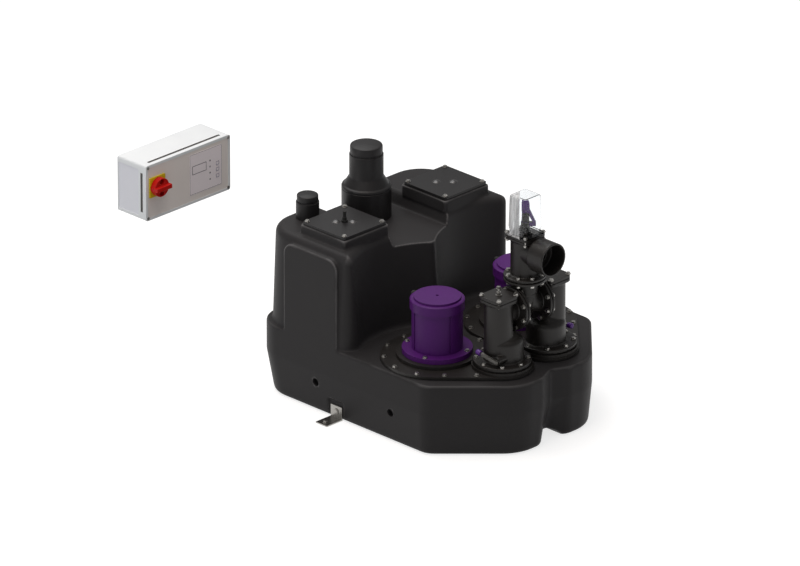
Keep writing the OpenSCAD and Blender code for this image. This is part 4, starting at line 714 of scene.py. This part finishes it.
# The cover's sunk face is a warmer, duller grey than its rim, and the foam seal in the groove is
# dark and matt.
face_grey = coated("grey_cover_face", "#E4DDD9", "#EBE4E0", 0.45, 1.0, 0.02)
seal_grey = coated("grey_foam_seal", "#5C5A59", "#686665", 0.70, 1.0, 0.02)
cover = dressed("control_cover", case_plastic, 1.6, segments=3)
cover.data.materials.append(face_grey)
cover.data.materials.append(seal_grey)
across, depth, height = (face_centres(cover) - unit_corner).T
from_edge = np.minimum(np.minimum(across, unit_w - across), np.minimum(height, unit_h - height))
on_face = (depth > 0.9) & (depth < 1.5)
in_groove = (depth > 14.9) & (depth < 25.1) & (from_edge > 0.5) & (from_edge < 3.5)
coloured(cover, on_face + 2 * in_groove)


# Main switch: a moulded yellow plate on the cover and a red rotary knob, whose spindle goes
# through both. Both are signal plastic: strong colours, half glossy and very smooth.
yellow = coated("yellow_signal_plastic", "#D0B912", "#DCC41A", 0.35, 1.0, 0.01, 40)
dressed("switch_plate", yellow, 0.8)
red = coated("red_signal_plastic", "#B00A04", "#BE1008", 0.40, 1.0, 0.01, 40, shine=0.25)
dressed("switch_knob", red, 1.2, "main_switch", segments=3)


# Film panel and soft keys: a polyester film glued into the cover's face, with a frame, a display
# window and four lamps printed on it, and three raised keys, each with a printed square.
panel_front = 631.12
outer_frame = (264, 99.5, 140, 137, 4, 1.0)  # place across and up, width, height, corner, line
window = (235.5, 113, 63, 30, 2, 2.2)
lamps = [(283, v, 6, 6, 3, 2.8) for v in (126, 105, 84, 62)]
key_u, key_square = 315, (12.8, 12.8, 1.5, 1.5)
key_places = (("upper", 109), ("middle", 87.5), ("lower", 66))


def ink_ring(u, v, w, h, corner, line, front):
    """Closed ring of ink, 0.2 mm thick: four rounded rectangles of w by h mm about (u, v), the
    outer two and the inner two line apart, at the depth front and behind it, joined in a loop."""
    edges = [(d, front + t) for d, t in ((0, 0), (line, 0), (line, 0.2), (0, 0.2))]
    loops = [(rounded_rectangle(w - 2 * d, h - 2 * d, max(corner - d, 0.2), 5), y)
             for d, y in edges]
    x0, _, z0 = unit_corner
    points = np.concatenate([np.column_stack([p[:, 0] + u + x0, np.full(len(p), y),
                                              p[:, 1] + v + z0]) for p, y in loops])
    n = len(points) // 4
    i, j = np.meshgrid(np.arange(n), np.arange(4))
    k, m = (i + 1) % n, (j + 1) % 4
    quads = np.stack([j * n + i, j * n + k, m * n + k, m * n + i], -1).reshape(-1, 4)
    return points / 1000, quads


# Printed polyester film: pale, faintly pink and smooth, with dark ink lines that lie just proud
# of it; on the keys the film is duller and the ink is violet.
film = coated("printed_polyester_film", "#EEE6EA", "#F4ECF0", 0.38, 0.8, 0.01, 60)
ink = coated("dark_screen_ink", "#4A4750", "#54515A", 0.45, 0.8, 0.005, 60)
panel = dressed("membrane_panel", film, 0)
prints = [ink_ring(*p, panel_front) for p in (outer_frame, window, *lamps)]
coloured(panel, with_parts(panel, prints, ink))
key_film = coated("soft_key_film", "#EAE2E6", "#F0E8EC", 0.45, 0.8, 0.01, 40)
key_ink = coated("violet_screen_ink", "#4C4870", "#56527C", 0.45, 0.8, 0.005, 60)
for row, v in key_places:
    key = dressed(f"key_{row}", key_film, 0, f"{row}_key")
    key_front = face_centres(key)[:, 1].min() - 0.06
    square = ink_ring(key_u, v, *key_square, key_front)
    coloured(key, with_parts(key, [square], key_ink))


# Cable glands and circuit board: four rubber glands screwed into the underside of the case, and
# inside it a board on four pillars.
dressed("control_glands", rubber, 0.5)
# Green solder mask: smooth and half glossy.
board = coated("green_solder_mask", "#1D5A33", "#236A3D", 0.35, 2.0, 0.02, 20)
dressed("circuit_board", board, 0.2)
